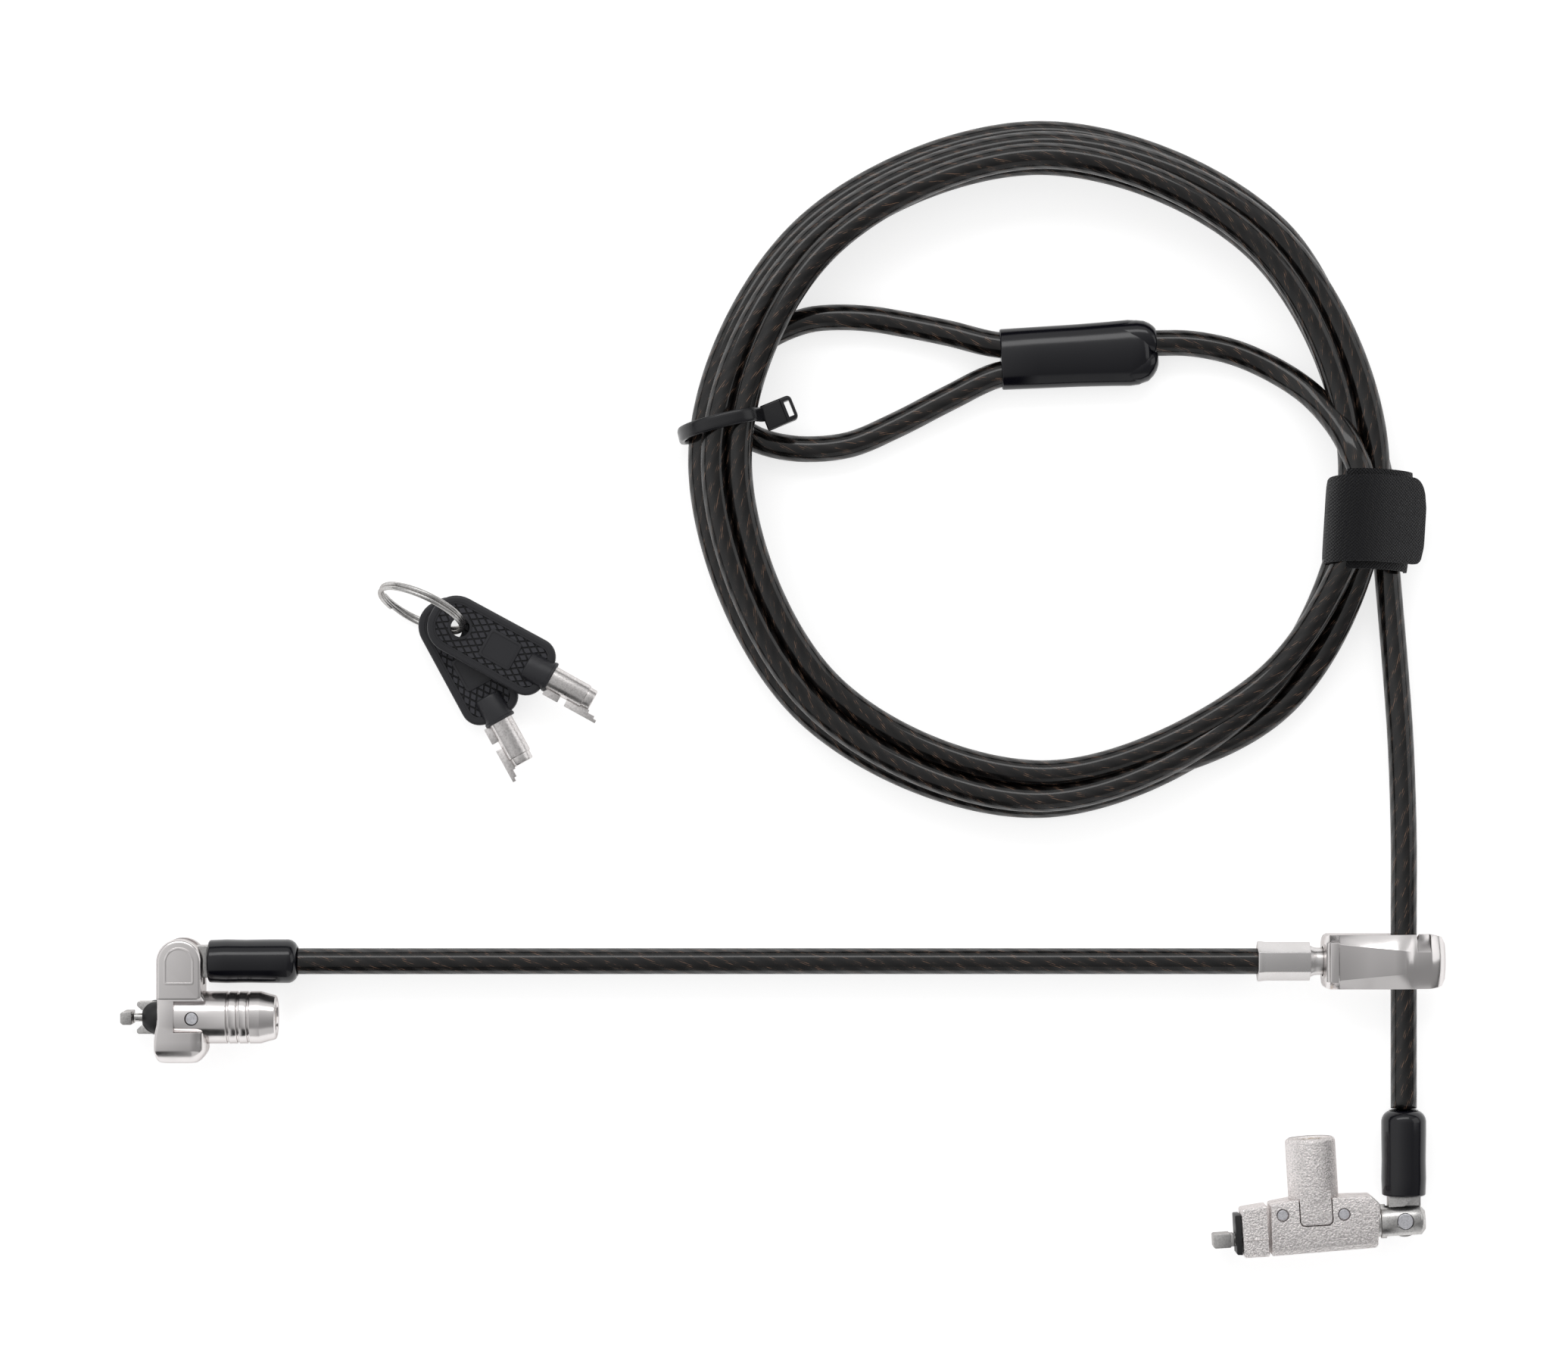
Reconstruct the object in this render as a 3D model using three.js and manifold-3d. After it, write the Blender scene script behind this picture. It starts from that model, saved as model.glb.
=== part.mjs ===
// A laptop cable lock: a long sheathed steel cable, coiled, with a loop at one end and a narrow blade lock
// at the other, a sliding anchor that carries a short link cable with a T-bar lock, and two keys on a ring.
// Millimetres, +Z up, lying on the surface z = 0. The origin is under the middle of the hard parts.

import * as THREE from 'three';
import { mergeVertices } from 'three/addons/utils/BufferGeometryUtils.js';
import Module from 'manifold-3d';

const wasm = await Module();
wasm.setup();

// ---- Driving dimensions --------------------------------------------------------------------------------

const GAP = 0.3; // clearance between neighbouring pieces
const ROUND = 24; // facets round a main cylinder
const CABLE_RADIUS = 2.5;
const AXIS_Z = 5.4; // height of the straight cables, both lock heads and the anchor
const MAIN_X = 118.7; // the straight part of the main cable runs along Y at this X
const LINK_Y = -7.9; // the link cable runs along X at this Y

const COIL = { x: 49.4, y: 86.4, inner: 55.9, outer: 67.2, height: 10.6 };
const BOOT_RADIUS = 4.2;
const BOOT_1 = { left: -110.0, right: -92.9 };
const BOOT_2 = { top: -36.3, bottom: -52.6 };
const EYE = { thickness: 3, hole: 1.75, radius: 3.1 };

const HEAD_1 = { x: -115.2, y: LINK_Y }; // pivot of the T-bar lock's arm
const BARREL_1 = { y: -10.72, radius: 5, left: -3.6, right: 18.3, bore: 3.05, mouth: 2.8 };
const HEAD_2 = { x: MAIN_X, y: -57.4, tilt: 3.5 }; // pivot of the blade lock and its turn in degrees
const TOWER = { x: -17, radius: 4.8, bottom: 5.9, top: 16.9 };
const BLADE_Y = -1.7; // the blade's axis below the swivel axis of the blade lock
const CASE_HALF = 4.1; // half of the blade lock's thickness

const FERRULE = { left: 90.6, neck: 101.2, across: 6.5, neckRadius: 2.4 };
const ANCHOR = { left: -15.6, right: 8, halfWidth: 5.2, halfHeight: 5.3, hole: 3.3 };

const SLEEVE = { x: 56.7, y: 108.1, z: 3.7, length: 30.2, width: 12, height: 7.2, tilt: 3 };
const STRAP = { left: 101.2, right: 122.4, y: 76.2, halfWidth: 7.7, thickness: 0.7 };
const TIE = { x: -11.7, y: 94.4, turn: 12, reach: 8.1, halfWidth: 1.35, thickness: 0.9 };
const KEY_RING = { x: -69, y: 59.6, z: 8.7, radius: 8.5, wire: 0.45, turn: -24, lean: 72 };
const BOW = { back: -6.2, front: 19.2, halfWidth: 5.8, thickness: 2.4, hole: 2.3 };
const KEY_A = { x: -61.8, y: 56.0, z: 6.6, turn: -29 };
const KEY_B = { x: -63.9, y: 55.5, z: 3.6, turn: -61 };

// ---- Materials -----------------------------------------------------------------------------------------

function finish(color, roughness, metalness) {
  return new THREE.MeshStandardMaterial({ color, roughness, metalness });
}

const brightNickel = () => finish(0xd6d1cc, 0.18, 1);
const satinNickel = () => finish(0xb9b1a8, 0.45, 1);
const steel = () => finish(0xa9a8a8, 0.3, 1);
const brass = () => finish(0xb08d4a, 0.35, 1);
const aluminium = () => finish(0xb8b8b8, 0.4, 1);
const vinyl = () => finish(0x0b0b10, 0.15, 0);
const sheath = () => finish(0x15110f, 0.2, 0);
const rubber = () => finish(0x101012, 0.7, 0);
const moulded = () => finish(0x17181c, 0.5, 0);
const nylon = () => finish(0x0d0d0f, 0.35, 0);
const webbing = () => finish(0x101113, 0.9, 0);

// ---- Geometry helpers ----------------------------------------------------------------------------------

const radians = THREE.MathUtils.degToRad;

/** Merge shared vertices, drop collapsed triangles and turn the faces outwards. */
function closed(geometry) {
  const bare = geometry.clone();
  bare.deleteAttribute('normal');
  bare.deleteAttribute('uv');
  const merged = mergeVertices(bare, 1e-4);
  const at = merged.attributes.position;
  const [a, b, c] = [new THREE.Vector3(), new THREE.Vector3(), new THREE.Vector3()];
  const kept = [];
  let volume = 0;
  for (let i = 0; i < merged.index.count; i += 3) {
    const corners = [0, 1, 2].map((k) => merged.index.getX(i + k));
    if (new Set(corners).size < 3) continue;
    kept.push(corners);
    a.fromBufferAttribute(at, corners[0]);
    b.fromBufferAttribute(at, corners[1]);
    c.fromBufferAttribute(at, corners[2]);
    volume += a.dot(b.cross(c));
  }
  if (volume < 0) kept.forEach((corners) => corners.reverse());
  merged.setIndex(kept.flat());
  return merged;
}

function toSolid(geometry) {
  const mesh = closed(geometry);
  const vertProperties = new Float32Array(mesh.attributes.position.array);
  const triVerts = new Uint32Array(mesh.index.array);
  return new wasm.Manifold(new wasm.Mesh({ numProp: 3, vertProperties, triVerts }));
}

function fromSolid(solid) {
  const mesh = solid.getMesh();
  const geometry = new THREE.BufferGeometry();
  geometry.setAttribute('position', new THREE.BufferAttribute(new Float32Array(mesh.vertProperties), 3));
  geometry.setIndex([...mesh.triVerts]);
  return geometry;
}

/** The union of some closed geometries, less every cutter. */
function carve(bodies, cutters = []) {
  let solid = toSolid(bodies[0]);
  bodies.slice(1).forEach((body) => {
    solid = solid.add(toSolid(body));
  });
  cutters.forEach((cutter) => {
    solid = solid.subtract(toSolid(cutter));
  });
  return fromSolid(solid);
}

/** A box given by its low and high corners. */
function block(low, high) {
  const size = low.map((value, i) => high[i] - value);
  const middle = low.map((value, i) => (high[i] + value) / 2);
  return new THREE.BoxGeometry(...size).translate(...middle);
}

const turnTo = {
  x: (geometry) => geometry.rotateZ(-Math.PI / 2),
  y: (geometry) => geometry,
  z: (geometry) => geometry.rotateX(Math.PI / 2),
};

/** A cylinder along an axis, from one coordinate to another on it, around a centre of the other two. */
function rod(axis, from, to, radius, centre = [0, 0], facets = ROUND) {
  const geometry = turnTo[axis](new THREE.CylinderGeometry(radius, radius, to - from, facets));
  const middle = (from + to) / 2;
  if (axis === 'x') return geometry.translate(middle, centre[0], centre[1]);
  if (axis === 'y') return geometry.translate(centre[0], middle, centre[1]);
  return geometry.translate(centre[0], centre[1], middle);
}

/** A turned piece along X: a closed profile of [x, radius] points. */
function turnedX(profile, facets = ROUND) {
  const points = profile.map(([x, radius]) => new THREE.Vector2(radius, x));
  return turnTo.x(new THREE.LatheGeometry(points, facets));
}

/** A turned piece along Y: a closed profile of [y, radius] points. */
function turnedY(profile, facets = ROUND) {
  return new THREE.LatheGeometry(profile.map(([y, radius]) => new THREE.Vector2(radius, y)), facets);
}

/** A tube profile between two ends, from an inner to an outer radius. */
const tubeProfile = (from, to, inner, outer) => [
  [from, inner],
  [from, outer],
  [to, outer],
  [to, inner],
  [from, inner],
];

/** A flat outline in XY with rounded corners, each corner given as [x, y, radius]. */
function outline(corners) {
  const shape = new THREE.Shape();
  const count = corners.length;
  const at = (i) => new THREE.Vector2(corners[(i + count) % count][0], corners[(i + count) % count][1]);
  corners.forEach(([x, y, radius], i) => {
    const corner = new THREE.Vector2(x, y);
    const into = at(i - 1).sub(corner).normalize().multiplyScalar(radius).add(corner);
    const away = at(i + 1).sub(corner).normalize().multiplyScalar(radius).add(corner);
    if (i === 0) shape.moveTo(into.x, into.y);
    else shape.lineTo(into.x, into.y);
    if (radius > 0) shape.quadraticCurveTo(x, y, away.x, away.y);
  });
  shape.closePath();
  return shape;
}

/** A flat plate from an outline, from one height to another, with its edges bevelled. */
function plate(shape, low, high, bevel = 0, curveSegments = 4) {
  const geometry = new THREE.ExtrudeGeometry(shape, {
    depth: high - low - 2 * bevel,
    bevelEnabled: bevel > 0,
    bevelThickness: bevel,
    bevelSize: bevel,
    bevelOffset: -bevel,
    bevelSegments: 1,
    curveSegments,
  });
  return geometry.translate(0, 0, low + bevel);
}

/** A cable along a hand-laid route. */
function cable(points, steps, sides = 10) {
  const places = points.map((point) => new THREE.Vector3(...point));
  const route = new THREE.CatmullRomCurve3(places, false, 'centripetal');
  const section = new THREE.Shape();
  section.absarc(0, 0, CABLE_RADIUS, 0, 2 * Math.PI);
  return new THREE.ExtrudeGeometry(section, { extrudePath: route, steps, curveSegments: sides / 2 });
}

function piece(name, geometry, material) {
  const mesh = new THREE.Mesh(closed(geometry), material);
  mesh.name = name;
  return mesh;
}

function groupAt(x, y, z, turn, pieces) {
  const group = new THREE.Group();
  group.position.set(x, y, z);
  group.rotation.z = radians(turn);
  group.add(...pieces);
  return group;
}

// ---- Head 1: the T-bar lock, in the frame of its arm's pivot -------------------------------------------

/** The cast arm: a forked lobe round the pivot and a collar in which the barrel swivels. */
function lock1Arm() {
  const lobe = new THREE.Shape();
  lobe.moveTo(-4.4, -8);
  lobe.lineTo(4.4, -8);
  lobe.absarc(0, 0, 4.4, 0, Math.PI);
  lobe.closePath();
  const collar = outline([
    [-5.1, -6.8, 1],
    [-5.1, -19.3, 1.8],
    [5.1, -19.3, 1.8],
    [5.1, -6.8, 1],
  ]);
  const slotHalf = EYE.thickness / 2 + GAP;
  const barrel = [BARREL_1.y, 0];
  return carve(
    [plate(lobe, -4.9, 4.9, 0.5, 9), plate(collar, -AXIS_Z, AXIS_Z, 0.6)],
    [
      rod('x', -3.9, 8, BARREL_1.radius + GAP, barrel),
      rod('x', -8, -3.8, 4.4, barrel),
      block([-8, -4.4, -slotHalf], [8, 8, slotHalf]),
      rod('z', -8, 3.7, 1.45),
      block([-1, -13.4, 0], [8, -7.4, 8]),
      block([-1, -13.4, -8], [8, -7.4, 0]),
    ],
  );
}

function lock1Barrel() {
  const { left, right, radius, bore, mouth } = BARREL_1;
  const profile = [
    [left, 3.7],
    [left, radius],
  ];
  [9.1, 11.05, 13].forEach((groove) => {
    profile.push([groove - 0.25, radius], [groove, radius - 0.35], [groove + 0.25, radius]);
  });
  profile.push([right - 2.2, radius], [right, 4.3], [right, mouth], [right - 1.1, mouth]);
  profile.push([right - 1.1, bore], [-1.9, bore], [-1.9, 1.1], [-2.4, 1.1], [-2.4, 3.7], [left, 3.7]);
  return carve([turnedX(profile)], [rod('z', 2, 8, 1.3, [2.4, 0], 16)]);
}

/** The rotor turns with the key; a ring groove round a post receives the tubular key. */
function lockRotor(turned, back, front, radius) {
  return turned([
    [back, 0],
    [back, radius],
    [front, radius],
    [front, radius - 0.3],
    [front - 6, radius - 0.3],
    [front - 6, 0.9],
    [front, 0.9],
    [front, 0],
  ]);
}

/** Crosswise head, thin neck and a tail flange held behind the barrel's web. */
function lock1Tbar() {
  return carve([
    block([-11.4, -1.28, -3.1], [-9.25, 1.28, 3.1]),
    rod('x', -9.5, -1.2, 0.75, [0, 0], 16),
    rod('x', -1.6, -0.9, 2, [0, 0], 20),
  ]);
}

/** Two fixed prongs that fill the security slot, standing on a disc in the barrel's mouth. */
function lock1ProngPlate() {
  const prong = outline([
    [-3.3, 1.45, 0],
    [-7.2, 1.45, 0],
    [-8.4, 2.4, 0],
    [-8.4, 3.1, 0],
    [-3.3, 3.1, 0],
  ]);
  const upper = plate(prong, -1.3, 1.3);
  const disc = rod('x', -3.5, -2.7, 3);
  const lower = upper.clone().rotateX(Math.PI);
  return carve([disc, upper, lower], [rod('x', -9, 0, 1.1)]);
}

/** Soft dome that presses on the computer's wall, slotted for the prongs. */
function lock1Bumper() {
  const dome = turnedX([
    [-3.9, 1.1],
    [-3.9, 4.1],
    [-4.8, 4.1],
    [-4.8, 3.4],
    [-5.6, 3.2],
    [-6.4, 2.6],
    [-6.95, 1.9],
    [-6.95, 1.1],
    [-3.9, 1.1],
  ]);
  const slots = [block([-9, 1.15, -1.6], [0, 3.4, 1.6]), block([-9, -3.4, -1.6], [0, -1.15, 1.6])];
  return carve([dome], slots);
}

function cableEye(reach, tabHalf) {
  const half = EYE.thickness / 2;
  return carve(
    [rod('z', -half, half, EYE.radius), block([0, -tabHalf, -half], [reach, tabHalf, half])],
    [rod('z', -half - 1, half + 1, EYE.hole)],
  );
}

/** Vinyl boot over the crimped cable end, from its fitting end to its rounded cable end. */
const bootProfile = (fitting, end) => {
  const way = Math.sign(end - fitting);
  return [
    [fitting, 0],
    [fitting, BOOT_RADIUS - 0.5],
    [fitting + way * 0.8, BOOT_RADIUS],
    [end - way * 3, BOOT_RADIUS],
    [end - way * 1.5, BOOT_RADIUS - 0.5],
    [end, CABLE_RADIUS + 0.5],
    [end, 0],
  ];
};

function head1() {
  const barrel = groupAt(0, BARREL_1.y, 0, 0, [
    piece('lock1_barrel', lock1Barrel(), brightNickel()),
    piece('lock1_retaining_pin', rod('z', 3.2, 4.9, 1, [2.4, 0], 16), steel()),
    piece('lock1_core_sleeve', turnedX(tubeProfile(-0.6, 16.9, 2.3, 2.7)), brass()),
    piece('lock1_prong_plate', lock1ProngPlate(), steel()),
    piece('lock1_rubber_bumper', lock1Bumper(), rubber()),
    piece('lock1_tbar', lock1Tbar(), steel()),
    piece('lock1_rotor', lockRotor(turnedX, -0.6, 16.2, 2), brass()),
  ]);
  return groupAt(HEAD_1.x, HEAD_1.y, AXIS_Z, 0, [
    piece('lock1_arm', lock1Arm(), brightNickel()),
    piece('lock1_pivot_pin', rod('z', -4.8, 3.4, 1.15, [0, 0], 16), steel()),
    piece('lock1_cable_eye', cableEye(BOOT_1.left - HEAD_1.x - GAP, EYE.radius), steel()),
    barrel,
  ]);
}

// ---- The sliding anchor and the link cable -------------------------------------------------------------

/** Cast anchor: a wedge-shaped body with a hole for the main cable and a socket for the ferrule's neck. */
function sliderRing() {
  const side = new THREE.Shape();
  const half = ANCHOR.halfHeight;
  side.moveTo(ANCHOR.left, -half + 1);
  side.lineTo(ANCHOR.left + 1.5, -half);
  side.lineTo(0, -half);
  side.quadraticCurveTo(ANCHOR.right - 0.5, -half, ANCHOR.right, 0);
  side.quadraticCurveTo(ANCHOR.right - 0.5, half, 0, half);
  side.lineTo(ANCHOR.left + 1.5, half);
  side.lineTo(ANCHOR.left, half - 1);
  side.closePath();
  const body = plate(side, -ANCHOR.halfWidth, ANCHOR.halfWidth, 0.8, 6).rotateX(Math.PI / 2);
  return carve(
    [body],
    [
      rod('y', -9, 9, ANCHOR.hole),
      rod('x', -20, -6, FERRULE.neckRadius + GAP),
      rod('x', -12.3, -8.7, 3.4),
    ],
  );
}

/** Six-sided crimp on the link cable, with a round neck and a head held inside the anchor. */
function sliderFerrule() {
  const corner = FERRULE.across / 2;
  const { left, neck, neckRadius } = FERRULE;
  const headStart = MAIN_X - 12;
  return carve([
    rod('x', left, neck, corner, [0, 0], 6),
    rod('x', neck - 0.5, headStart + 1, neckRadius),
    rod('x', headStart, headStart + 3, 3.1),
  ]);
}

function anchorAndLink() {
  const ferrule = groupAt(0, LINK_Y, AXIS_Z, 0, [
    piece('slider_ferrule', sliderFerrule(), aluminium()),
    piece('lock1_boot', turnedX(bootProfile(BOOT_1.left, BOOT_1.right)), vinyl()),
    piece('link_cable', cable(LINK_ROUTE, 14), sheath()),
  ]);
  const ring = groupAt(MAIN_X, LINK_Y, AXIS_Z, 0, [piece('slider_ring', sliderRing(), brightNickel())]);
  return [ferrule, ring];
}

// ---- Head 2: the narrow blade lock, in the frame of its cross pin, its long axis along X ---------------

const BARREL_2 = { left: -4.3, right: 3.9, radius: 3.25, shankEnd: -8.5 };
const RIVETS = { lock2_rivet_left: [-23.4, 2.7], lock2_rivet_right: [-11.7, 2.2] };

/** Round swivel piece, slotted for the cable eye, with a shank and flange held inside the case. */
function lock2SwivelBarrel() {
  const { left, right, radius, shankEnd } = BARREL_2;
  const turned = turnedX([
    [shankEnd, 0],
    [shankEnd, 3],
    [shankEnd + 1.3, 3],
    [shankEnd + 1.3, 2.2],
    [left, 2.2],
    [left, radius],
    [right - 0.7, radius],
    [right, radius - 0.7],
    [right, 0],
  ]);
  const slotHalf = EYE.thickness / 2 + GAP;
  return carve([turned], [block([-3.5, -5, -slotHalf], [5, 5, slotHalf]), rod('z', -5, 5, 1.8, [0, 0], 20)]);
}

const caseOutline = () =>
  outline([
    [-25.6, 4.9, 0],
    [-25.9, -5.05, 0],
    [-5.6, -4.6, 1.2],
    [-4.6, 3.8, 0],
    [-6.0, 5.2, 0],
    [-12.6, 5.5, 0],
    [-21.4, 5.5, 0],
  ]);

/** One half of the case, cut for everything it holds. */
function lock2CaseHalf(low, high, tangSide) {
  const cutters = [
    rod('x', -9, -4, 2.5),
    rod('x', -8.9, -6.8, 3.3),
    rod('y', -2, 1.4, 2.85, [TOWER.x, 0]),
    rod('y', 1.2, 8, 2.3, [TOWER.x, 0]),
    rod('x', -27, -19, 1.1, [BLADE_Y, 0], 16),
    rod('x', -22, -19, 1.9, [BLADE_Y, 0], 20),
    block([TOWER.x - 3.35, 0.1, tangSide * 3.8 - 1.1], [TOWER.x + 3.35, 8, tangSide * 3.8 + 1.1]),
  ];
  Object.values(RIVETS).forEach((place) => cutters.push(rod('z', -9, 9, 1.3, place, 16)));
  return carve([plate(caseOutline(), low, high, 0.5)], cutters);
}

/** Key tower with a tang at the front and the back, each let into its half of the case. */
function lock2KeyTower() {
  const { x, radius, bottom, top } = TOWER;
  const turned = turnedY([
    [bottom, 3],
    [bottom, radius],
    [top - 0.6, radius],
    [top, radius - 0.6],
    [top, 3],
    [bottom, 3],
  ]).translate(x, 0, 0);
  const tang = (side) => {
    const shape = outline([
      [x - 3.05, 8, 0],
      [x - 3.05, 0.4, 1],
      [x + 3.05, 0.4, 1],
      [x + 3.05, 8, 0],
    ]);
    const middle = side * 3.7;
    return plate(shape, middle - 0.6, middle + 0.6);
  };
  const inside = rod('y', 0, top + 1, 3, [x, 0]);
  return carve([turned, tang(1), tang(-1)], [inside]);
}

/** The blade: a flat head, its neck and a shaft with a flange held inside the case. */
function lock2Blade() {
  return carve([
    block([-36.8, BLADE_Y - 1.35, -2.4], [-33.4, BLADE_Y + 1.35, 2.4]),
    block([-33.7, BLADE_Y - 1.0, -0.7], [-32.7, BLADE_Y + 1.0, 0.7]),
    rod('x', -33, -20.7, 0.75, [BLADE_Y, 0], 16),
    rod('x', -21.6, -20.3, 1.6, [BLADE_Y, 0], 20),
  ]);
}

function lock2Nose() {
  const shape = outline([
    [-31.2, 4.0, 0],
    [-31.2, -4.7, 0],
    [-26.2, -5.05, 0],
    [-26.2, 4.8, 0],
  ]);
  return carve([plate(shape, -3.8, 3.8, 0.5)], [rod('x', -33, -25, 1.1, [BLADE_Y, 0], 16)]);
}

function lock2Pad() {
  return carve([block([-32.4, -4.5, -3.3], [-31.5, 3.1, 3.3])], [rod('x', -34, -30, 1.1, [BLADE_Y, 0], 16)]);
}

/** Cam on the rotor's foot whose stub drives the blade round. */
const lock2DriverCam = () =>
  carve([rod('y', -0.4, 0.9, 2.5), rod('y', -1.6, 0, 0.6, [1.4, 0], 12)]).translate(TOWER.x, 0, 0);

function head2() {
  const rivets = Object.entries(RIVETS).map(([name, place]) =>
    piece(name, rod('z', -CASE_HALF + 0.1, CASE_HALF - 0.1, 1, place, 16), steel()));
  return groupAt(HEAD_2.x, HEAD_2.y, AXIS_Z, HEAD_2.tilt, [
    piece('lock2_pivot_pin', rod('z', -3.1, 3.1, 1.5, [0, 0], 20), steel()),
    piece('lock2_swivel_barrel', lock2SwivelBarrel(), steel()),
    piece('lock2_case_front', lock2CaseHalf(0.15, CASE_HALF, 1), satinNickel()),
    piece('lock2_case_back', lock2CaseHalf(-CASE_HALF, -0.15, -1), satinNickel()),
    piece('lock2_key_tower', lock2KeyTower(), satinNickel()),
    piece('lock2_core_sleeve', turnedY(tubeProfile(6.2, 15.9, 2.2, 2.7)).translate(TOWER.x, 0, 0), brass()),
    piece('lock2_rotor', lockRotor(turnedY, 1.2, 15.6, 1.9).translate(TOWER.x, 0, 0), brass()),
    piece('lock2_driver_cam', lock2DriverCam(), steel()),
    piece('lock2_blade', lock2Blade(), steel()),
    piece('lock2_nose', lock2Nose(), satinNickel()),
    piece('lock2_rubber_pad', lock2Pad(), rubber()),
    ...rivets,
  ]);
}

// ---- The main cable and what it carries ----------------------------------------------------------------

const LINK_ROUTE = [
  [BOOT_1.right + GAP, 0, 0],
  [-60, 0, -0.1],
  [0, 0, -0.2],
  [60, 0, -0.1],
  [FERRULE.left - GAP, 0, 0],
];
const STRAIGHT_ROUTE = [
  [MAIN_X, BOOT_2.top + GAP, AXIS_Z],
  [MAIN_X, -20, AXIS_Z],
  [MAIN_X, 0, AXIS_Z],
  [MAIN_X, 16, AXIS_Z],
  [118.2, 34, 4.6],
  [117.3, 48, 4.6],
  [116.3, 61, 5.6],
];
const UPPER_LOOP_ROUTE = [
  [40.8, 110.1, 3.7],
  [31.7, 112.4, 3.2],
  [22.9, 114.2, 2.6],
  [16.7, 115.2, 2.6],
  [10.3, 115.5, 2.6],
  [4.4, 114.9, 2.6],
];
const LOWER_LOOP_ROUTE = [
  [40.0, 103.7, 3.7],
  [31.6, 99.9, 3.2],
  [21.6, 94.8, 2.6],
  [12.8, 91.1, 2.6],
  [4.5, 90.2, 2.6],
  [-1.9, 91.5, 2.6],
];
const TAIL_ROUTE = [
  [72.3, 110.5, 3.7],
  [78.4, 110.4, 3.2],
  [86.7, 108.7, 2.6],
  [94.8, 104.6, 2.8],
  [99.3, 101.4, 3.6],
];

const mainCoil = () =>
  new THREE.LatheGeometry(
    [
      [COIL.inner + 2, 0],
      [COIL.outer - 2, 0],
      [COIL.outer, 2],
      [COIL.outer, COIL.height - 2],
      [COIL.outer - 2, COIL.height],
      [COIL.inner + 2, COIL.height],
      [COIL.inner, COIL.height - 2],
      [COIL.inner, 2],
      [COIL.inner + 2, 0],
    ].map(([radius, z]) => new THREE.Vector2(radius, z)),
    48,
  ).rotateX(Math.PI / 2).translate(COIL.x, COIL.y, 0);

/** An oblong outline: a rectangle with round ends, for the sleeve and its ferrule. */
function oblong(width, height) {
  const shape = new THREE.Shape();
  const reach = (width - height) / 2;
  shape.absarc(reach, 0, height / 2, -Math.PI / 2, Math.PI / 2);
  shape.absarc(-reach, 0, height / 2, Math.PI / 2, (3 * Math.PI) / 2);
  shape.closePath();
  return shape;
}

/** Vinyl sleeve over the crimp that closes the end loop. */
function loopSleeve() {
  const section = oblong(SLEEVE.width, SLEEVE.height);
  const room = oblong(SLEEVE.width - 1.6, SLEEVE.height - 1.6);
  const along = (shape, length) => {
    const upright = plate(shape, -length / 2, length / 2, 0, 8);
    return upright.rotateX(Math.PI / 2).rotateZ(Math.PI / 2);
  };
  const shell = carve([along(section, SLEEVE.length)], [along(room, SLEEVE.length + 2)]);
  const crimp = along(oblong(SLEEVE.width - 2.2, SLEEVE.height - 2.2), SLEEVE.length - 6);
  return groupAt(SLEEVE.x, SLEEVE.y, SLEEVE.z, SLEEVE.tilt, [
    piece('loop_sleeve', shell, vinyl()),
    piece('loop_ferrule', crimp, aluminium()),
  ]);
}

/** A band that goes over the coil: an arch, open below, across X. */
const arch = (outer, inner, halfDepth) =>
  carve(
    [block([outer[0], -halfDepth, GAP], [outer[1], halfDepth, outer[2]])],
    [block([inner[0], -halfDepth - 1, -1], [inner[1], halfDepth + 1, inner[2]])],
  );

function zipTie() {
  const { reach, halfWidth, thickness } = TIE;
  const outer = [-reach, reach, COIL.height + GAP + thickness];
  const inner = [thickness - reach, reach - thickness, COIL.height + GAP];
  const band = arch(outer, inner, halfWidth);
  const head = block([8.4, -2.5, 6.2], [14.6, 2.6, 10.6]);
  return groupAt(TIE.x, TIE.y, 0, TIE.turn, [
    piece('zip_tie_band', band, nylon()),
    piece('zip_tie_head', head, nylon()),
  ]);
}

function mainCableGroup() {
  const { left, right, y, halfWidth, thickness } = STRAP;
  const outer = [left, right, COIL.height + GAP + 2 * thickness];
  const inner = [left + thickness, right - thickness, COIL.height + GAP];
  const strap = arch(outer, inner, halfWidth).translate(0, y, 0);
  const boot = turnedY(bootProfile(BOOT_2.bottom, BOOT_2.top)).translate(MAIN_X, 0, AXIS_Z);
  const eye = cableEye(BOOT_2.bottom - HEAD_2.y - GAP, EYE.radius).rotateZ(Math.PI / 2);
  return [
    piece('main_cable_coil', mainCoil(), sheath()),
    piece('main_cable_straight', cable(STRAIGHT_ROUTE, 9), sheath()),
    piece('main_cable_tail', cable(TAIL_ROUTE, 5), sheath()),
    piece('main_cable_loop_upper', cable(UPPER_LOOP_ROUTE, 6), sheath()),
    piece('main_cable_loop_lower', cable(LOWER_LOOP_ROUTE, 6), sheath()),
    piece('hook_loop_strap', strap, webbing()),
    piece('lock2_boot', boot, vinyl()),
    groupAt(HEAD_2.x, HEAD_2.y, AXIS_Z, 0, [piece('lock2_cable_eye', eye, steel())]),
    loopSleeve(),
    zipTie(),
  ];
}

// ---- Keys ----------------------------------------------------------------------------------------------

const KEY_COLLAR = { from: 14.6, to: 19.9, radius: 3.05 };
const KEY_BARREL = { to: 29, radius: 2.35, tip: 2.05 };

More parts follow.
